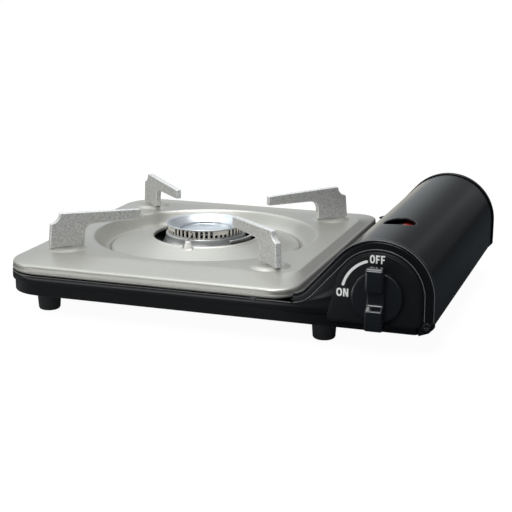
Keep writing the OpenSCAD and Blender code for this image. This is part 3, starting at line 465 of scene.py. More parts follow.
moulded = {
    "knob_plastic": plastic("knob_plastic", (0.008, 0.0095, 0.012), 0.2, 2.0, 0.003, 0.6),
    "panel_plastic": plastic("panel_plastic", (0.0045, 0.005, 0.006), 0.4, 0.35, 0.02),
    "igniter_plastic": plastic("igniter_plastic", (0.78, 0.76, 0.71), 0.4),
    "plunger_plastic": plastic("plunger_plastic", (0.55, 0.07, 0.05), 0.35),
    "ceramic": plastic("ceramic", (0.93, 0.92, 0.89), 0.22, 1.2, 0.003, 0.3, 0.03),
    "lead_rubber": plastic("lead_rubber", (0.2, 0.03, 0.025), 0.55),
    "foot_rubber": plastic("foot_rubber", (0.055, 0.058, 0.063), 0.42, 0.3, 0.04),
    "socket_rubber": plastic("socket_rubber", (0.03, 0.03, 0.03), 0.55, 0.3, 0.04),
    "can_paint": printed_can(),
    "print_white": plastic("print_white", (0.97, 0.97, 0.96), 0.5, 0.3, 0.004, 0.0, 0.04),
    "stem_plastic": plastic("stem_plastic", (0.75, 0.73, 0.68), 0.4),
}
finish = {**black, **silver, **metal, **moulded}
print("finishes", len(finish))


# %% [markdown]
# The solids themselves. The pan, the feet, the screws, the gas train and the
# cartridge stay as the solid model has them and only take their finish. Their
# edges are knife-sharp, and no real edge is: pressing, casting and moulding all
# leave a small round. Modifiers can give it without touching the mesh. Weld
# joins the facets' points, Decimate turns them into plain faces, and Bevel
# rounds the edges that are left.

# %% finishes on the solids
slot_of = {s["node"]: s["material_slot"] for s in frame["record"]["subparts"]}
LOOK = {"electrode_rod": "rod_steel"}  # a finish of its own instead of its slot's
# How far the edges are rounded, in millimetres; 0.2 elsewhere.
SOFT = {"base_tray": 0.7, "front_frame": 0.5, "rear_frame": 0.5, "cover": 0.3, "knob_panel": 0.35,
        "top_plate": 0.35, "port_ring": 0.15, "knob": 0.5, "burner_body": 0.25, "burner_cap": 0.12}


def soften(o, width):
    """Welds the node's facets into plain faces and rounds its edges."""
    o.data.polygons.foreach_set("use_smooth", [True] * len(o.data.polygons))
    weld = o.modifiers.new("weld", "WELD")
    weld.merge_threshold = 1e-6
    flat = o.modifiers.new("flat", "DECIMATE")
    flat.decimate_type = "DISSOLVE"
    flat.angle_limit = math.radians(0.4)
    bevel = o.modifiers.new("round", "BEVEL")
    bevel.width = width / 1000
    bevel.segments = 2
    bevel.limit_method = "ANGLE"
    bevel.angle_limit = math.radians(28)
    bevel.use_clamp_overlap = False


for node, o in frame["nodes"].items():
    o.data.materials.clear()
    o.data.materials.append(finish[LOOK.get(node, slot_of[node])])
    soften(o, SOFT.get(node, 0.2))
print("nodes with a finish", len(frame["nodes"]))


# %% [markdown]
# New pieces could be pulled into shape by hand from a subdivided box, but a
# stove is all profiles and repeats. So each piece is rings of points, and a
# part is its points and its faces. skin() lays faces between rings, and
# joined() makes several parts one.

# %% rings and skins
def skin(rings, closed=True):
    """Faces between rings that have the same number of points each."""
    n = len(rings[0])
    faces = []
    for j in range(len(rings) - 1):
        for i in range(n if closed else n - 1):
            a, b = j * n + i, j * n + (i + 1) % n
            faces.append((a, b, b + n, a + n))
    return [p for ring in rings for p in ring], faces


def joined(parts):
    """Several (points, faces) as one."""
    points, faces = [], []
    for p, f in parts:
        k = len(points)
        points += p
        faces += [tuple(i + k for i in face) for face in f]
    return points, faces


square = [[(x, y, z) for x, y in ((0, 0), (1, 0), (1, 1), (0, 1))] for z in (0, 1)]
print("two rings of four points have", len(skin(square)[1]), "faces between them")


# %% [markdown]
# build() makes the object from a part, gives it its finish and ties it to its
# body, so that it moves with that body's joint. A pressed sheet is drawn as one
# skin and gets its thickness from a Solidify modifier, as a real sheet has the
# same thickness everywhere. Edges are sharp where faces meet at a wide angle
# and are shaded smooth elsewhere, which keeps turned pieces round.

# %% one piece from a part
def build(name, part, body, slot, nodes=(), sharp=38, thick=0, values=None, look=None):
    points, faces = part
    mesh = bpy.data.meshes.new(name)
    mesh.from_pydata([at(*p) for p in points], [], faces)
    for key, numbers in (values or {}).items():
        mesh.attributes.new(key, "FLOAT", "POINT").data.foreach_set("value", numbers)
    shell = bmesh.new()
    shell.from_mesh(mesh)
    bmesh.ops.remove_doubles(shell, verts=shell.verts, dist=1e-6)
    if not thick:
        bmesh.ops.recalc_face_normals(shell, faces=shell.faces)
    shell.to_mesh(mesh)
    shell.free()
    mesh.polygons.foreach_set("use_smooth", [True] * len(mesh.polygons))
    mesh.set_sharp_from_angle(angle=math.radians(sharp))
    mesh.materials.append(finish[look or slot])
    o = bpy.data.objects.new(name, mesh)
    bpy.context.scene.collection.objects.link(o)
    if thick:
        solid = o.modifiers.new("sheet", "SOLIDIFY")
        solid.thickness, solid.offset = thick / 1000, -1
    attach(o, body)
    for node in nodes:
        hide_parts(node)
    print(name, len(points), "points", len(faces), "faces")
    return o


# %% [markdown]
# Cast and moulded plates are an outline with a thickness. A few corners say
# where such an outline runs. rounded() turns them into arcs and marks where
# they were, and moved_in() shrinks the outline. Curves could be drawn by hand
# instead, but a corner with a radius is how a maker's drawing gives it.

# %% outlines
def rounded(corners, steps=4):
    """An outline whose corners (u, v, radius) are arcs: (u, v, how sharp the corner was)."""
    out = []
    for i, (u, v, r) in enumerate(corners):
        p, a, b = Vector((u, v)), Vector(corners[i - 1][:2]), Vector(corners[(i + 1) % len(corners)][:2])
        e, f = (a - p).normalized(), (b - p).normalized()
        half = math.acos(max(-1, min(1, e.dot(f)))) / 2
        if r <= 0 or half > math.radians(88):
            out.append((u, v, 0))
            continue
        run = r / math.tan(half)
        centre = p + (e + f).normalized() * (r / math.sin(half))
        start, end = p + e * run - centre, p + f * run - centre
        turn = start.angle_signed(end)
        for k in range(steps + 1):
            c, s = math.cos(-turn * k / steps), math.sin(-turn * k / steps)
            q = centre + Vector((start.x * c - start.y * s, start.x * s + start.y * c))
            out.append((q.x, q.y, 1 if r < 2 else 0))
    return out


def moved_in(outline, k):
    """The outline, moved k inwards (it runs anticlockwise)."""
    pts = [Vector(p[:2]) for p in outline]
    out = []
    for i, p in enumerate(pts):
        d0, d1 = (p - pts[i - 1]).normalized(), (pts[(i + 1) % len(pts)] - p).normalized()
        n0, n1 = Vector((-d0.y, d0.x)), Vector((-d1.y, d1.x))
        out.append(p + (n0 + n1) / max(0.3, 1 + n0.dot(n1)) * k)
    return out


tile = rounded([(0, 0, 2), (9, 0, 0), (9, 9, 0), (0, 9, 0)])
print("a square with one round corner has", len(tile), "points")


# %% [markdown]
# prism() stacks shrunk outlines, so that the rims of the plate are round. A
# Bevel modifier rounds rims too, but it can't tell the finish where an edge is,
# and the paint on the arms wears there.

# %% plates from an outline
def prism(outline, t0, t1, soft, place, fade=0.5):
    """A plate with rounded edges: (points, faces) and how near each point is to an edge."""
    turns = [math.radians(a) for a in (0, 30, 60, 90)]
    low = [(soft + fade, t0, 0)]
    low += [(soft * (1 - math.sin(a)), t0 + soft * (1 - math.cos(a)), 1) for a in turns]
    low += [(0, t0 + soft + fade, 0)]
    high = [(k, t1 + t0 - t, e) for k, t, e in low[::-1]]
    rings, near = [], []
    for k, t, e in low + high:
        rings.append([place(p.x, p.y, t) for p in moved_in(outline, k)])
        near += [max(e, q[2] * (0.0 if k > soft else 1.0)) for q in outline]
    points, faces = skin(rings)
    n, last = len(outline), len(points)
    faces += [tuple(range(n))[::-1], tuple(range(last - n, last))]
    return (points, faces), near


part, near = prism(tile, 0, 4, 0.5, lambda u, v, t: (u, v, t))
print("a plate from it has", len(part[0]), "points,", sum(n > 0 for n in near), "of them near an edge")


# %% [markdown]
# Turned and spun pieces are one profile about an axis. lathe() could be a Screw
# modifier, but as plain rings its faces can be left out one by one, and place()
# can lay the axis any way. arc() is the same for a flat outline.

# %% turned pieces and arcs
def lathe(profile, place, steps=96):
    """Profile points (r, z) turned about an axis; place(x, y, z) puts the result."""
    rings = []
    for r, z in profile:
        rings.append([place(r * math.cos(2 * math.pi * i / steps), r * math.sin(2 * math.pi * i / steps), z)
                      for i in range(steps)])
    return skin(rings)


def arc(cx, cz, r, a0, a1, steps):
    """Points on a circle, from one angle to another in degrees."""
    return [(cx + r * math.cos(math.radians(a0 + (a1 - a0) * i / steps)),
             cz + r * math.sin(math.radians(a0 + (a1 - a0) * i / steps))) for i in range(steps + 1)]


def at_burner(x, y, z):
    return (BX + x, BY + y, z)


print("a quarter of a circle ends at", arc(0, 0, 1, 0, 90, 4)[-1])


# %% [markdown]
# Top plate: one deep-drawn pressing. A flat field sinks into a round dish, and
# its flanks fall to a rolled edge all round. A square grid would need many
# points to follow both the circle and the square, so the plate is rings about
# the burner that change from the one shape to the other. Each ring's reach is
# found along rays from the burner to a rectangle with rounded corners.

# %% the plate's outlines
PLATE_TOP, FLANK_FALL, FOLD = 44.5, 3.75, 0.12  # the fold is a share of the flank
WALL_END, FIELD_START = 97.4, 98.2  # distances from the burner's axis
# Left, front, right and rear, and the radius of the corners at the left and right.
FIELD = (25, 35.3, 231.5, 234.7, 24, 14)
EDGE = (1, 1.3, 240, 268.7, 31, 18)
BEAD = 1.9  # from the flank's end to the plate's edge


def ray_to(angle, rectangle, k=0):
    """Where a ray from the burner meets a rectangle with rounded corners, moved in by k."""
    x0, y0, x1, y1, left_r, right_r = rectangle
    x0, y0, x1, y1, left_r, right_r = x0 + k, y0 + k, x1 - k, y1 - k, left_r - k, right_r - k
    d = Vector((math.cos(angle), math.sin(angle)))
    lo, hi = 0.0, 260.0

    def outside(s):
        x, y = BX + d.x * s, BY + d.y * s
        if not (x0 <= x <= x1 and y0 <= y <= y1):
            return True
        r = left_r if x < (x0 + x1) / 2 else right_r
        u = max(x0 + r - x, x - (x1 - r), 0)
        v = max(y0 + r - y, y - (y1 - r), 0)
        return u > 0 and v > 0 and u * u + v * v > r * r

    for _ in range(34):
        mid = (lo + hi) / 2
        lo, hi = (lo, mid) if outside(mid) else (mid, hi)
    return lo


def field_edge(angle):
    """How far the flat field reaches; it always clears the dish."""
    return max(FIELD_START, ray_to(angle, FIELD))


def flank_edge(angle):
    return ray_to(angle, EDGE, BEAD)


def fall(t):
    """How far the flank is below the field at the share t of its way out."""
    way = t * t / (2 * FOLD) if t < FOLD else t - FOLD / 2
    return FLANK_FALL * way / (1 - FOLD / 2)


print("to the right, the field reaches", round(field_edge(0), 2), "and the flank", round(flank_edge(0), 2))


# %% [markdown]
# The dish: a flat gutter round a low cone, whose lip turns down at the burner's
# hole, and a crisp outer wall. The lip steps back at the front to pass the spark
# electrode. A Boolean would cut that notch with ragged faces. Here the rings'
# points move out along the cone and down with it, because points that only
# moved out would stand up like a tent.

# %% the dish
HOLE_R, CONE_R, CONE_RUN, CONE_RISE, CONE_CURVE = 44.2, 84, 40.5, 9.7, 1.25
CUT_R, CUT_AT = 4.6, 45  # the notch's radius and its distance from the burner's axis
CUT_TURN = 87  # where it is, in degrees clockwise from the right
CUT_FADE = 12  # how far from the hole it still moves the cone's points
LIP = [(HOLE_R, 42.0), (HOLE_R, 43.2), (44.35, 43.62), (44.75, 43.86), (45.3, 43.9), (45.9, 43.72),
       (46.4, 43.45)]
CONE = [(CONE_R - CONE_RUN * u, 34.5 + CONE_RISE * u ** CONE_CURVE)
        for u in (0.92, 0.86, 0.79, 0.7, 0.6, 0.48, 0.36, 0.26, 0.2)]
GUTTER = [(77.0, 35.75), (77.6, 35.6), (78.0, 35.35), (78.4, 34.85), (78.8, 34.4), (79.3, 34.12),
          (80.0, 34.0), (82.6, 34.0)]
WALL = [(83.5, 34.1), (84.3, 34.42), (85.4, 35.2), (86.8, 36.4), (88.3, 37.95), (89.8, 39.7), (91.2, 41.4),
        (92.4, 42.8), (93.1, 43.6), (93.7, 44.08), (94.3, 44.34), (95.0, 44.46), (96.0, PLATE_TOP),
        (WALL_END, PLATE_TOP)]
ANGLES = sorted({round(2 * math.pi * i / 336, 6) for i in range(336)}
                | {round(math.radians(360 - CUT_TURN + 0.22 * i), 6) for i in range(-28, 29)})


def notch(angle, r):
    """How far the hole's lip moves out at the notch for the electrode, fading over the cone."""
    turn = (angle + math.radians(CUT_TURN) + math.pi) % (2 * math.pi) - math.pi
    side = CUT_R ** 2 - (CUT_AT * math.sin(turn)) ** 2
    if abs(turn) > 0.5 or side < 0:
        return 0.0
    depth = max(0.0, CUT_AT * math.cos(turn) + math.sqrt(side) - HOLE_R)
    return depth * max(0.0, 1 - (r - HOLE_R) / CUT_FADE)


def drop(r, q):
    """How much lower the cone is at q than at r."""
    if q <= r:
        return 0
    here, there = (((CONE_R - way) / CONE_RUN) ** CONE_CURVE for way in (r, q))
    return CONE_RISE * (here - there)


def ring(reach, heights):
    """One ring of the plate: a distance from the burner's axis and a height for each angle."""
    return [(BX + r * math.cos(a), BY + r * math.sin(a), z) for a, r, z in zip(ANGLES, reach, heights)]


dish = []
for r, z in LIP + CONE + GUTTER + WALL:
    reach = [r + notch(a, r) for a in ANGLES]
    dish.append(ring(reach, [z - drop(r, q) for q in reach]))
print("dish", len(dish), "rings of", len(ANGLES), "points")


# %% [markdown]
# From the dish's wall outwards: the field is flat, the flank starts with a soft
# fold, and the edge is rolled down and in with a bead, which stiffens the thin
# sheet and keeps it from cutting a hand. The rolled edge is a table of steps
# inwards and heights, because its small radii catch the light as fine lines.

# %% the field, the flank and the rolled edge
ROLL = [(1.5, 40.62), (1.12, 40.53), (0.82, 40.36), (0.62, 40.13), (0.5, 39.84), (0.45, 39.45), (0.42, 38.4),
        (0.38, 37.1), (0.3, 36.8), (0.1, 36.5), (0.0, 36.15), (0.0, 35.75), (0.25, 35.4), (0.7, 35.3),
        (1.1, 35.55), (1.2, 36.5)]


def level(z):
    """The same height at every angle."""
    return [z] * len(ANGLES)


inner, outer = [field_edge(a) for a in ANGLES], [flank_edge(a) for a in ANGLES]
field = [ring([WALL_END + (f - WALL_END) * t for f in inner], level(PLATE_TOP))
         for t in (0.33, 0.66, 0.93, 1.0)]
flank = [ring([f + (e - f) * t for f, e in zip(inner, outer)], level(PLATE_TOP - fall(t)))
         for t in (0.06, FOLD, 0.2, 0.35, 0.5, 0.65, 0.8, 0.92, 1.0)]
roll = [ring([ray_to(a, EDGE, k) for a in ANGLES], level(z)) for k, z in ROLL]
print("rings of the field, the flank and the rolled edge", len(field), len(flank), len(roll))


# %% [markdown]
# Each pot arm stands on a low embossed dome. The domes are separate caps that
# lie on the plate, which is simpler than weaving them into the rings, and their
# rims follow the flank where it falls away under them. The foot of a dome and
# the floor of the gutter carry a number that paints shade into the colour, and
# a dome's shoulder a negative one that paints a highlight.

# %% the domes, and the plate as one piece
DOME = [(18.9, -0.2), (18.7, 0.02), (18.3, 0.16), (17.95, 0.42), (17.6, 0.68), (17.1, 0.8), (16.4, 0.86),
        (15.4, 1.12), (14.4, 1.5), (13.5, 1.86), (12.6, 2.2), (11.8, 2.46), (10.8, 2.63), (9.6, 2.7),
        (0.01, 2.7)]
DOME_AT, DOME_STEPS = 121.5, 72  # distance from the burner's axis, points round a dome
# numbers that paint shade into the plate's colour, and a highlight where negative, by ring
GUTTER_SHADE = {4: 0.6, 5: 0.9, 6: 0.5, 7: 0.2}  # by the number of the gutter's ring
DOME_SHADE_AND_HIGHLIGHT = {0: 1.0, 1: 1.0, 2: 1.0, 3: 0.6, 5: -0.35, 6: -0.2}


def sag(x, y):
    """How far the flank has fallen at a point."""
    a, r = math.atan2(y - BY, x - BX), math.hypot(x - BX, y - BY)
    f, e = field_edge(a), flank_edge(a)
    return fall(max(0.0, (r - f) / (e - f)))


def dome_part(angle):
    cx = BX + DOME_AT * math.cos(math.radians(angle))
    cy = BY + DOME_AT * math.sin(math.radians(angle))
    turns = [2 * math.pi * i / DOME_STEPS for i in range(DOME_STEPS)]
    rings = []
    for r, z in DOME:
        way = [(cx + r * math.cos(a), cy + r * math.sin(a)) for a in turns]
        rings.append([(x, y, PLATE_TOP + z - sag(x, y) * min(1.0, max(0.0, (r - 11) / 5))) for x, y in way])
    return skin(rings)


rings = dish + field + flank + roll
gutter_at = len(LIP + CONE)
crease_shade_and_highlight = [GUTTER_SHADE.get(j - gutter_at, 0.0) for j in range(len(rings)) for _ in ANGLES]
crease_shade_and_highlight += [DOME_SHADE_AND_HIGHLIGHT.get(j, 0.0) for j in range(len(DOME)) for _ in range(DOME_STEPS)] * 4
plate = joined([skin(rings)] + [dome_part(angle) for angle in (45, 135, 225, 315)])
build("plate", plate, "plate", "plate_silver", ["top_plate"], sharp=50, thick=0.9, values={"crease_shade_and_highlight": crease_shade_and_highlight})


# %% [markdown]
# Pot arms: cast, then painted silver. Each is a flat plate on edge with a bite
# out of its top outer corner, where a pan's rim sits, and a leg that stands on
# its dome. One outline in distance from the burner and height serves all four,
# turned to each corner. Its edge number runs wider than the round of the
# casting, and the paint is made lighter along it.

# %% pot arms
ARM = [(58.5, 63.7, 1.2), (106.6, 63.7, 7.5), (107.2, 47.2, 1.1), (136.45, 47.2, 1.1), (134.68, 66.5, 1.1)]
ARM += [(135.18 + 8.5 * math.cos(math.radians(a)), 75 + 8.5 * math.sin(math.radians(a)), 0)
        for a in range(252, 192, -10)]
ARM += [(126.7, 74.55, 1.1), (58.5, 71.7, 1.2)]
for name, angle in (("rear_right", 45), ("rear_left", 135), ("front_left", 225), ("front_right", 315)):
    c, s = math.cos(math.radians(angle)), math.sin(math.radians(angle))
    part, near = prism(rounded(ARM), -2.4, 2.4, 0.5,
                       lambda r, z, t: (BX + r * c - t * s, BY + r * s + t * c, z))
    build("pot_arm_" + name, part, "plate", "arm_silver", ["arm_" + name], sharp=60, values={"edge": near})


# %% [markdown]
# Cover: a half pipe of pressed steel that turns on its two pins. The round
# sight hole shows the cartridge, and its rim turns in. A Boolean could cut the
# hole, but it leaves thin faces that spoil the gloss. So the pipe's grid has a
# square window, and rings run from its border to the round rim, each point
# lying on the pipe.

# %% the half pipe
AX, AZ, CR = 303.85, 44.76, 39.15  # the arch's axis and the cover's radius
SIGHT_X, SIGHT_Y, WINDOW, CELLS = 302.65, 69.3, 17.0, 12
window_x = [SIGHT_X - WINDOW + 2 * WINDOW * i / CELLS for i in range(CELLS + 1)]
window_y = [SIGHT_Y - WINDOW + 2 * WINDOW * i / CELLS for i in range(CELLS + 1)]
FRONT_Y = [6.4, 6.55, 7.0, 9.0, 20.0, 35.0]
PIPE_Y = FRONT_Y + window_y + [100.0, 130.0, 160.0, 190.0, 220.0, 245.0, 261.0, 263.0, 263.45, 263.6]
TURN_IN = {0: 0.35, 1: 0.1, len(PIPE_Y) - 1: 0.35, len(PIPE_Y) - 2: 0.1}  # broken edges at both ends


def pipe_section():
    """The pipe's outline from left to right, and where the window starts on it."""
    left = math.radians(187.0)
    turns = [math.acos((x - AX) / CR) for x in window_x]
    rise = [left - (left - turns[0]) * i / 30 for i in range(31)]
    across = [a for a in rise if a <= math.pi]
    first = len(across) + 2
    across += turns[1:-1] + [turns[-1] * (1 - i / 26) for i in range(27)]
    section = [(AX - CR, z) for z in (39.96, 41.5, 43.2)]
    section += [(AX + CR * math.cos(a), AZ + CR * math.sin(a)) for a in across]
    return section + [(AX + CR, z) for z in (40.0, 35.0, 30.0, 25.4, 24.7)], first


section, window_at = pipe_section()
print("cover's section", len(section), "points, window from", window_at)


# %% [markdown]
# The grid is laid along the pipe, the window's faces are left out, and the
# rings that fill it share the border's points with the grid, so that nothing
# shows where they meet.

# %% the cover with its sight hole
RIM = [(13.2, share, 0) for share in (0.8, 0.6, 0.4, 0.2, 0)]
RIM += [(12.7, 0, 0.02), (12.2, 0, 0.16), (11.85, 0, 0.5), (11.75, 0, 1.0), (11.7, 0, 1.8)]


def pipe_ring(y, k):
    """The section at y, moved in by k."""
    out = []
    for x, z in section:
        d = Vector((x - AX, max(0.0, z - AZ)))
        d = d.normalized() * k if d.length > 1e-6 else Vector((0, 0))
        out.append((x - d.x, y, z - d.y))
    return out


def sight_ring(border, r, share, sink):
    """The border drawn in to a circle of radius r, and sunk below the pipe."""
    out = []
    for x, y, _ in border:
        d = Vector((x - SIGHT_X, y - SIGHT_Y))
        d = d * share + d.normalized() * r * (1 - share)
        x = SIGHT_X + d.x
        out.append((x, SIGHT_Y + d.y, AZ + math.sqrt(CR * CR - (x - AX) ** 2) - sink))
    return out


def cover_part():
    n, x0, y0 = len(section), window_at, len(FRONT_Y)
    x1, y1 = x0 + CELLS, y0 + CELLS
    points, faces = skin([pipe_ring(y, TURN_IN.get(j, 0.0)) for j, y in enumerate(PIPE_Y)], closed=False)
    faces = [f for f in faces if not (y0 <= f[0] // n < y1 and x0 <= f[0] % n < x1)]
    walk = [(i, y0) for i in range(x0, x1)] + [(x1, j) for j in range(y0, y1)]
    walk += [(i, y1) for i in range(x1, x0, -1)] + [(x0, j) for j in range(y1, y0, -1)]
    border = [points[j * n + i] for i, j in walk]
    return joined([(points, faces), skin([border] + [sight_ring(border, *step) for step in RIM])])


build("cover_shell", cover_part(), "cover", "cover_black", ["cover"], sharp=40, thick=0.9)


# %% [markdown]
# Burner ports: a ring of fine fins with the flame slots between them. The slots
# are half as tall beside each pot arm, so that the flame doesn't lick the
# casting. Slots cut with Booleans would be slow and rough. The fins are built
# one by one between two turned bands instead, and the gaps are truly open.

# %% burner ports
SLOTS, RING, RING_IN = 48, 31.6, 29.4
PITCH = 2 * math.pi / SLOTS


def band(z0, z1, soft=0.15):
    return lathe([(RING_IN, z0), (RING - soft, z0), (RING, z0 + soft), (RING, z1 - soft), (RING - soft, z1),
                  (RING_IN, z1), (RING_IN, z0)], at_burner, 192)


def fin(a0, a1, z0, z1, r0=RING_IN, r1=RING, soft=0.25):
    """A curved block between two angles, with broken outer edges."""
    da = soft / r1
    plan = [(r0, a0), (r1 - soft, a0), (r1, a0 + da), (r1, (a0 + a1) / 2), (r1, a1 - da), (r1 - soft, a1),
            (r0, a1)]
    return skin([[at_burner(r * math.cos(a), r * math.sin(a), z) for r, a in plan] for z in (z0, z1)])


def port_ring_part():
    half = PITCH / 2 - 1.05 / RING
    parts = [band(47.3, 47.95), band(53.35, 54.0)]
    for i in range(SLOTS):
        a = (i + 0.5) * PITCH
        parts.append(fin(a - half, a + half, 47.9, 53.4))
        if i % 12 in (5, 6, 7):  # closes the slot's upper half beside an arm
            mid = i * PITCH
            parts.append(fin(mid - PITCH / 2, mid + PITCH / 2, 50.3, 53.4, 29.5, RING - 0.02))
    return joined(parts)


build("burner_fins", port_ring_part(), "base", "burner_alu", ["port_ring"], look="port_alu", sharp=30)


# %% [markdown]
# Bowl and cup: the polished bowl is spun aluminium with a rolled lip, and the
# cup in its middle has four air slits in its wall. A Screw modifier would turn
# both, but it can't leave a gap. So each is a profile on the lathe, and the
# faces at the slits are left out.

# %% bowl and cup
BOWL = [(22.5, 49.3), (22.5, 49.95), (22.65, 50.2), (23.0, 50.38), (23.5, 50.6), (25.2, 51.5), (27.0, 52.5),
        (28.8, 53.55), (30.0, 54.2), (31.0, 54.68), (31.8, 55.0), (32.3, 55.15), (32.7, 55.2), (33.0, 55.12),
        (33.17, 54.92), (33.2, 54.6), (33.1, 54.25), (32.8, 54.05), (32.4, 54.0), (29.4, 54.0), (29.1, 52.8),
        (22.5, 49.3)]
CUP = [(0.01, 48.3), (8, 48.2), (16, 48.0), (19.6, 47.95), (20.8, 48.2), (21.4, 48.6), (21.6, 48.75),
       (21.6, 49.65), (21.6, 50.0), (22.3, 50.0), (22.3, 49.65), (22.3, 48.75), (22.0, 48.0),
       (21.4, 47.4), (20.0, 47.1), (0.01, 47.1)]
CUP_WALL = (6, 10)  # the profile's steps that are the wall's inside and outside


def cup_part(steps=144):
    points, faces = lathe(CUP, at_burner, steps)
    keep = []
    for f in faces:
        row, col = divmod(f[0], steps)
        slit = min((col * 360 / steps - a) % 360 for a in (4, 94, 184, 274)) < 30
        if not (slit and row in CUP_WALL):
            keep.append(f)
    return points, keep


build("burner_bowl", lathe(BOWL, at_burner, 192), "base", "burner_alu", ["burner_cap"], sharp=60)
build("burner_cup", cup_part(), "base", "burner_alu", ["inner_dish"], sharp=60)


# %% [markdown]
# Casting: its skirt flares out below the ports in one soft quarter wave, and a
# short socket points at the gas bay and takes the mixing tube. Both are turned
# forms, so the lathe makes both, the socket with its axis laid flat. They
# overlap where they meet, which is simpler than a join that nobody sees.

# %% burner casting
TUBE_TURN = math.radians(-36.271)
SKIRT = [(37.3 - 3.9 * math.sin(math.radians(6 * i)), 36.4 + 9.6 * i / 15) for i in range(16)]
BODY = [(13.5, 19.6), (13.5, 27.0), (25.6, 35.3), (31.0, 42.5), (36.1, 36.1), (36.7, 36.0), (37.15, 36.1)]
BODY += SKIRT + [(33.35, 46.5), (33.1, 46.9), (32.6, 47.2), (32.0, 47.3), (28.8, 47.3), (28.8, 45.6),
                 (24.4, 37.3), (12, 28.6), (12, 21.0), (4, 21.0), (4, 47.1), (0.01, 47.1)]
SOCKET = [(5.9, 24), (6.7, 23.7), (6.9, 23.4), (6.9, 8.0), (6.05, 8.0), (6.05, 24), (5.9, 24)]


def along_tube(x, y, z):
    c, s = math.cos(TUBE_TURN), math.sin(TUBE_TURN)
    return at_burner(z * c - x * s, z * s + x * c, 26.6 + y)


casting = joined([lathe(BODY, at_burner, 144), lathe(SOCKET, along_tube, 48)])
build("burner_casting", casting, "base", "burner_alu", ["burner_body"], look="cast_alu", sharp=50)


# %% [markdown]
# Knob: a disc with a moulded grip across it. The grip's front is scooped for
# the finger between two blocks, and every edge is well rounded, as glossy
# moulded plastic has them. Sculpting would give the same, but the grip is one
# silhouette drawn out sideways, so an outline with a radius at each corner is
# enough.

# %% knob
DISC = [(0.01, -5.8), (17.0, -5.8), (17.6, -5.76), (18.1, -5.6), (18.4, -5.3), (18.5, -4.9), (18.5, -2.5),
        (18.3, -2.2), (0.01, -2.2)]
GRIP = [(-15, 21.96, 3.0), (-5.2, 21.96, 1.7), (-5.2, 67.56, 1.7), (-15, 67.56, 3.0), (-15, 50.6, 1.5),
        (-9.9, 50.2, 1.9), (-9.9, 40.2, 4.0), (-15, 37.0, 2.0)]
disc = lathe(DISC, lambda x, y, z: (AX + x, z, AZ + y), 128)
block = prism(rounded(GRIP, 7), -6.35, 6.35, 1.3, lambda u, v, t: (AX + t, u, v), fade=0.3)[0]
build("knob_grip", joined([disc, block]), "knob", "knob_plastic", ["knob"], sharp=60)


# %% [markdown]
# Knob panel: a thin moulded plate with a fine grain. Its face stands half a
# millimetre proud within a narrow rim, and a strip below it closes the gap to
# the pan. Three prisms of outlines make it, since each has its own round edge.

# %% knob panel
def panel_outline(k):
    """The panel's outline, moved in by k."""
    pts = arc(271.1, 27.4, 4 - k, 165.9, 270, 10) + arc(329.4, 29.4, 6 - k, 270, 360, 12)
    return [(x, z, 0) for x, z in pts + arc(AX, AZ, 31.55 - k, 0, 165.9, 60)]


def facing(u, v, t):
    """Turns an outline in (x, z) with its thickness to the front."""
    return (u, t, v)


STRIP = [(267.6, 23.9, 0), (328.0, 23.9, 0), (328.0, 27.3, 0), (267.6, 27.3, 0)]
back = prism(panel_outline(0), -1.4, 0.0, 0.4, facing, fade=0.2)[0]
face = prism(panel_outline(1.3), -1.9, -1.0, 0.35, facing, fade=0.2)[0]
strip = prism(STRIP, -0.6, 1.85, 0.2, facing, 0.1)[0]
build("panel", joined([back, face, strip]), "base", "panel_plastic", ["knob_panel"], sharp=40)


# %% [markdown]
# Print: ON, OFF and the arc between them, in white on the panel. It could be a
# mask in the panel's finish, but small letters need many nodes that way. Real
# print is a film of ink with a thickness, so each letter is a thin film of its
# own, drawn with strokes of one width.

# %% letters as films
def film(outline, hole=None):
    """A printed shape on the panel's face, with an opening for a letter O."""
    n = len(outline)
    rings = [[(x, y, z) for x, z in outline] for y in (-1.88, -1.95)]
    if hole:
        rings += [[(x, y, z) for x, z in hole] for y in (-1.95, -1.88)]
        return skin(rings)
    points, faces = skin(rings)
    return points, faces + [tuple(range(n, 2 * n))]


def letter_o(x, z, w, h, stroke):
    def loop(k):
        out = []
        for i in range(40):
            c, s = math.cos(2 * math.pi * i / 40), math.sin(2 * math.pi * i / 40)
            out.append((x + w / 2 + (w / 2 - k) * math.copysign(abs(c) ** 0.75, c),
                        z + h / 2 + (h / 2 - k) * math.copysign(abs(s) ** 0.85, s)))
        return out
    return film(loop(0), loop(stroke))


def letter_f(x, z, w, h, stroke):
    pts = [(0, 0), (stroke, 0), (stroke, h * 0.4), (w * 0.88, h * 0.4), (w * 0.88, h * 0.4 + stroke),
           (stroke, h * 0.4 + stroke), (stroke, h - stroke), (w, h - stroke), (w, h), (0, h)]
    return film([(x + u, z + v) for u, v in pts])


def letter_n(x, z, w, h, stroke):
    slant, bend = stroke * 1.25, stroke * 2.1
    pts = [(0, 0), (stroke, 0), (stroke, h - bend), (w - slant, 0), (w, 0), (w, h), (w - stroke, h),
           (w - stroke, bend), (slant, h), (0, h)]
    return film([(x + u, z + v) for u, v in pts])


off = [letter_o(297.7, 68.5, 3.7, 6.0, 1.15), letter_f(302.0, 68.5, 2.9, 6.0, 1.15),
       letter_f(305.6, 68.5, 2.9, 6.0, 1.15)]
on = [letter_o(273.9, 42.6, 4.3, 6.0, 1.2), letter_n(278.9, 42.6, 3.8, 6.0, 1.1)]
build("print_words", joined(off + on), "base", "panel_plastic", look="print_white", sharp=30)


# %% [markdown]
# The arc between the words shows which way the knob turns. It is a film like
# the letters: two arcs about the knob's axis with a half circle at each end. A
# bent tube would be as easy, but it would stand up from the panel.

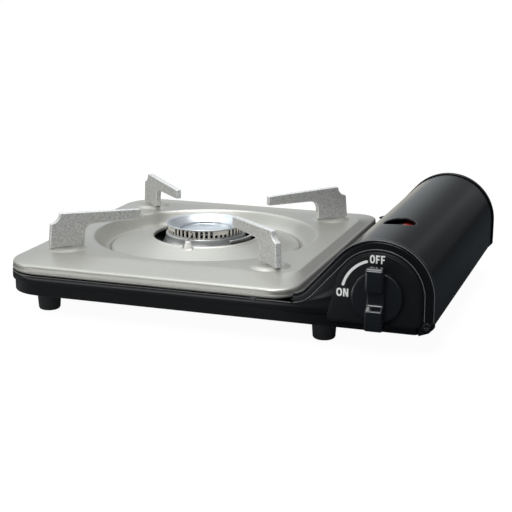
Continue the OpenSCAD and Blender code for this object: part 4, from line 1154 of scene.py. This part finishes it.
# %% the arc between the words
def sweep_mark(r=26.0, a0=109.0, a1=165.0, half=1.0):
    """The arc from ON to OFF, with round ends."""
    ends = [(AX + r * math.cos(math.radians(a)), AZ + r * math.sin(math.radians(a))) for a in (a1, a0)]
    far = arc(*ends[0], half, a1, a1 + 180, 8)[1:-1]
    near = arc(*ends[1], half, a0 - 180, a0, 8)[1:-1]
    return film(arc(AX, AZ, r + half, a0, a1, 30) + far + arc(AX, AZ, r - half, a1, a0, 30) + near)


build("print_arc", sweep_mark(), "base", "panel_plastic", look="print_white", sharp=30)


# %% [markdown]
# End frames: a folded band follows the shoulder and the arch, with a rolled
# bead along its outer edge that catches the light. A curve with a bevel object
# would sweep it, but its corners pinch. Here one section is drawn at stations
# along the line, so that each station keeps its width. The rear frame is the
# front one, mirrored over the pan's depth.

# %% the frames' line and section
PAN_DEPTH = 270
SHOULDER_X, SHOULDER_Z, SHOULDER_R = 239.1, 55.9, 22  # the shoulder's arc
ARCH_R, SIDE_X = 33.55, 337.4  # the arch about the cover's axis, and the straight side below it
SECTION = [(-1.6, 1.0), (0.5, 1.0), (2.5, 1.0), (4.1, 1.0), (4.4, 1.06), (4.62, 1.2), (4.8, 1.16),
           (4.98, 0.94), (5.2, 0.74), (5.5, 0.62), (5.85, 0.64), (6.15, 0.8), (6.38, 1.05), (6.52, 1.4),
           (6.58, 1.8), (6.6, 2.3), (6.6, 5.6), (6.5, 5.9), (6.3, 6.0), (5.9, 6.0), (5.7, 5.9), (5.6, 5.6),
           (5.6, 2.0), (-1.6, 2.0)]


def frame_stations():
    """Points on the wall's outline with the way outwards, from the rim over the arch to the foot."""
    out = []
    for i in range(2, 17):
        a = math.radians(-90 + 48 * i / 16)
        c, s = math.cos(a), math.sin(a)
        out.append(((SHOULDER_X + SHOULDER_R * c, SHOULDER_Z + SHOULDER_R * s), (-c, -s)))
    for i in range(61):
        a = math.radians(138 - 138 * i / 60)
        c, s = math.cos(a), math.sin(a)
        out.append(((AX + ARCH_R * c, AZ + ARCH_R * s), (c, s)))
    return out + [((SIDE_X, z), (1, 0)) for z in (40.0, 35.0, 31.0, 28.6)]


STATIONS = frame_stations()
print("frame's line", len(STATIONS), "stations, section", len(SECTION), "points")


# %% [markdown]
# The band ends in a foot that widens to the right, and its cut edges are
# folded to fine hems. On black enamel a hem is hardly more than a line of
# light, so a thin tube along the same stations is coloured grey: a painted
# highlight that gives that line from any side, which a mask in the finish wouldn't.

# %% end frames and their hems
BAND_IN, BAND_OUT = -1.6, 6.6  # the section's reach from the stations
FOOT_LEFT = 333.0
FOOT = [(344.0, 28.0), (344.0, 24.6), (343.75, 23.9), (340.9, 20.9), (340.2, 20.4), (333.6, 18.1)]


def front(y):
    return y


def rear(y):
    return PAN_DEPTH - y


def end_frame_part(depth):
    """depth puts y of the front frame where this frame lies."""
    rings = []
    for k, ((x, z), (u, v)) in enumerate(STATIONS):
        back = 0.35 if k == 0 else 0.0
        reach = [g - (back if g > 5 else 0) for g, _ in SECTION]
        rings.append([(x + u * g, depth(y), z + v * g) for g, (_, y) in zip(reach, SECTION)])
    shares = [(g - BAND_IN) / (BAND_OUT - BAND_IN) for g, _ in SECTION]
    for right, z in FOOT:
        rings.append([(FOOT_LEFT + share * (right - FOOT_LEFT), depth(y), z)
                      for share, (_, y) in zip(shares, SECTION)])
    points, faces = skin(rings)
    n, last = len(SECTION), len(points)
    return points, faces + [tuple(range(n)), tuple(range(last - n, last))]


def hem(stations, out, depth, y, radius):
    """A fine tube of eight sides, out from the stations, at the depth of y."""
    rings = []
    for (x, z), (u, v) in stations:
        x, z = x + u * out, z + v * out
        turns = [(radius * math.cos(math.pi * i / 4), radius * math.sin(math.pi * i / 4)) for i in range(8)]
        rings.append([(x + u * c, depth(y + s), z + v * c) for c, s in turns])
    points, faces = skin(rings)
    return points, faces + [tuple(range(8)), tuple(range(len(points) - 8, len(points)))]


def hems(depth):
    return joined([hem(STATIONS, -0.25, depth, 0.15, 0.3), hem(STATIONS[2:], 6.25, depth, 1.0, 0.28)])


build("frame_front", end_frame_part(front), "base", "frame_black", ["front_frame"], sharp=45)
build("frame_rear", end_frame_part(rear), "base", "frame_black", ["rear_frame"], sharp=45)
build("hems_front", hems(front), "base", "frame_black", look="hem_painted_highlight", sharp=60)
build("hems_rear", hems(rear), "base", "frame_black", look="hem_painted_highlight", sharp=60)


# %% [markdown]
# The cover's ears: a plate at each end, folded in from the cover's right edge,
# that turns on the hinge pin. A face with a hole needs care, so each ear is
# rings between its bore and its outline: rays from the pin find the outline.

# %% cover ears
PIN_X, PIN_Z, BORE = 339, 25.1, 2.05
EAR = arc(PIN_X, PIN_Z, 3.6, 162, 278, 24) + [(343.0, 24.6), (343.0, 42.6), (341.5, 42.6)]


def ear_reach(d):
    """How far the ear's outline is from the pin, along d."""
    reach, pin = 99.0, Vector((PIN_X, PIN_Z))
    for j, q in enumerate(EAR):
        p0, p1 = Vector(q) - pin, Vector(EAR[(j + 1) % len(EAR)]) - pin
        e = p1 - p0
        cross = d.x * e.y - d.y * e.x
        if abs(cross) > 1e-9:
            t, w = (p0.x * e.y - p0.y * e.x) / cross, (p0.x * d.y - p0.y * d.x) / cross
            if t > 0 and -1e-6 <= w <= 1 + 1e-6:
                reach = min(reach, t)
    return reach


def ear_part(y0, y1, steps=60):
    turns = [2 * math.pi * i / steps for i in range(steps)]
    ways = [Vector((math.cos(a), math.sin(a))) for a in turns]
    rings = [[(PIN_X + d.x * BORE, y, PIN_Z + d.y * BORE) for d in ways] for y in (y1, y0)]
    for k, y in ((0.2, y0), (0.0, y0 + 0.2), (0.0, y1 - 0.2), (0.2, y1)):
        rings.append([(PIN_X + d.x * (ear_reach(d) - k), y, PIN_Z + d.y * (ear_reach(d) - k)) for d in ways])
    return skin(rings + [rings[0]])


ears = joined([ear_part(6.4, 7.6), ear_part(262.4, 263.6)])
build("cover_ears", ears, "cover", "cover_black", ["cover"], sharp=40)


# %% [markdown]
# Floor: plain and pale, with the stove's shadow. Looked at, it is near white.
# Glossy enamel and paint take their form from what they mirror, and a studio
# lays cards round such a thing. So mirror rays find a dark floor with two pale
# cards on it: one behind the stove at the left for the streak along the cover,
# and a strip ahead of it for the rolled edge, with a weak glow up to the pan.
# Real lamps in those places would light the rest too.

# %% floor
def floor_finish():
    f = Finish("floor", Roughness=0.9, Specular_IOR_Level=0.1, Emission_Strength=1.0)
    seen = f.node("LightPath", {}, {}, "Is Camera Ray")
    mirrored = f.node("LightPath", {}, {}, "Is Glossy Ray")
    # The cards' borders, in millimetres from the middle of the stove.
    behind = (0.0 - f.axis(0)).ramp(-60.0, 60.0) * f.axis(1).ramp(150.0, 320.0)
    ahead = 0.0 - f.axis(1)
    left = 1.0 - (f.axis(0) + ahead * 0.33).ramp(90.0, 150.0)
    far = ahead.ramp(240.0, 264.0)
    strip = left * far * (1.0 - ahead.ramp(600.0, 900.0))
    near = left * ahead.ramp(60.0, 120.0) * (1.0 - far)
    unseen = f.mix(mirrored, (0.36, 0.36, 0.355), (0.035, 0.04, 0.045))
    glow = f.mix(behind * mirrored, (1.0, 1.0, 1.0), (1.0, 0.96, 0.86))
    f.set(Base_Color=f.mix(seen, unseen, (0.072, 0.072, 0.071)),
          Emission_Color=f.tint(glow, seen * 0.96 + mirrored * (behind * 0.76 + strip * 1.8 + near * 0.15)))
    return f.mat


mesh = bpy.data.meshes.new("floor")
mesh.from_pydata([(x, y, 0) for x, y in ((-12, -12), (12, -12), (12, 12), (-12, 12))], [], [(0, 1, 2, 3)])
mesh.materials.append(floor_finish())
floor = bpy.data.objects.new("floor", mesh)
bpy.context.scene.collection.objects.link(floor)
print("floor", len(mesh.vertices), "points")


# %% [markdown]
# Room: white where the camera looks, and elsewhere a dim room that is bright
# only high up, and low at the left behind the stove. A picture of a studio
# would light it too, but ramps over the direction need none and can be tuned
# one by one: x runs to the right, y to the rear and z up.

# %% room
def make_world():
    world = bpy.data.worlds.new("room")
    world.use_nodes = True
    bpy.context.scene.world = world
    f = Nodes(world.node_tree)
    way = f.node("TexCoord", {}, {}, "Generated")
    x, y, z = (f.axis(i, way) for i in range(3))
    left = (0.0 - x).ramp(-0.12, 0.34)
    high = z.ramp(0.43, 0.66) * 0.92 - z.ramp(0.7, 1.0) * 0.46
    behind = y.ramp(-0.4, 0.3)
    low = (0.0 - x).ramp(-0.03, 0.37) * 0.42 + (1.0 - ((x - 0.17) / 0.08).abs()).ramp(0.0, 0.9) * 0.14
    low = low + (1.0 - ((x + 0.06) / 0.3).abs()).ramp(0.0, 0.7) * 0.09
    shade = 0.08 + behind * low + high * (behind * (left * 0.85 + 0.15) + (1.0 - behind) * 0.6)
    shade = shade + (1.0 - behind) * 0.06
    seen = f.node("LightPath", {}, {}, "Is Camera Ray")
    colour = f.mix(seen, f.tint((0.95, 1.0, 1.03), shade), (1.0, 1.0, 1.0))
    add(world.node_tree, "OutputWorld", {}, {0: f.node("Background", {}, {0: colour})})
    return world


print("room", len(make_world().node_tree.nodes), "nodes")


# %% [markdown]
# Lights: three softboxes about a metre wide, for soft shadows. The broad one
# overhead lights the plate, the front one the pan, the knob and the arms'
# fronts, and a weak warm one the left side. Sun lamps would be simpler, but
# their shadows are hard and their highlights are dots.

# %% lights
def softbox(name, place, look, size, power, colour=(1, 1, 1)):
    data = bpy.data.lights.new(name, "AREA")
    data.shape, data.size, data.size_y = "RECTANGLE", size[0], size[1]
    data.energy, data.color = power, colour
    box = bpy.data.objects.new(name, data)
    bpy.context.scene.collection.objects.link(box)
    box.location = place
    box.rotation_euler = (Vector(look) - Vector(place)).to_track_quat("-Z", "Y").to_euler()
    return box


softbox("overhead", (-0.05, 0.15, 1.5), (0, 0, 0.03), (0.9, 1.1), 11)
softbox("front", (0.0, -1.5, 1.5), (0, 0, 0.05), (1.0, 0.6), 14.5, (0.98, 1.0, 1.0))
softbox("left", (-1.5, -0.6, 0.8), (0, 0, 0.05), (0.9, 0.6), 3.6, (1.0, 0.95, 0.88))
bpy.context.scene.view_settings.view_transform = "Standard"
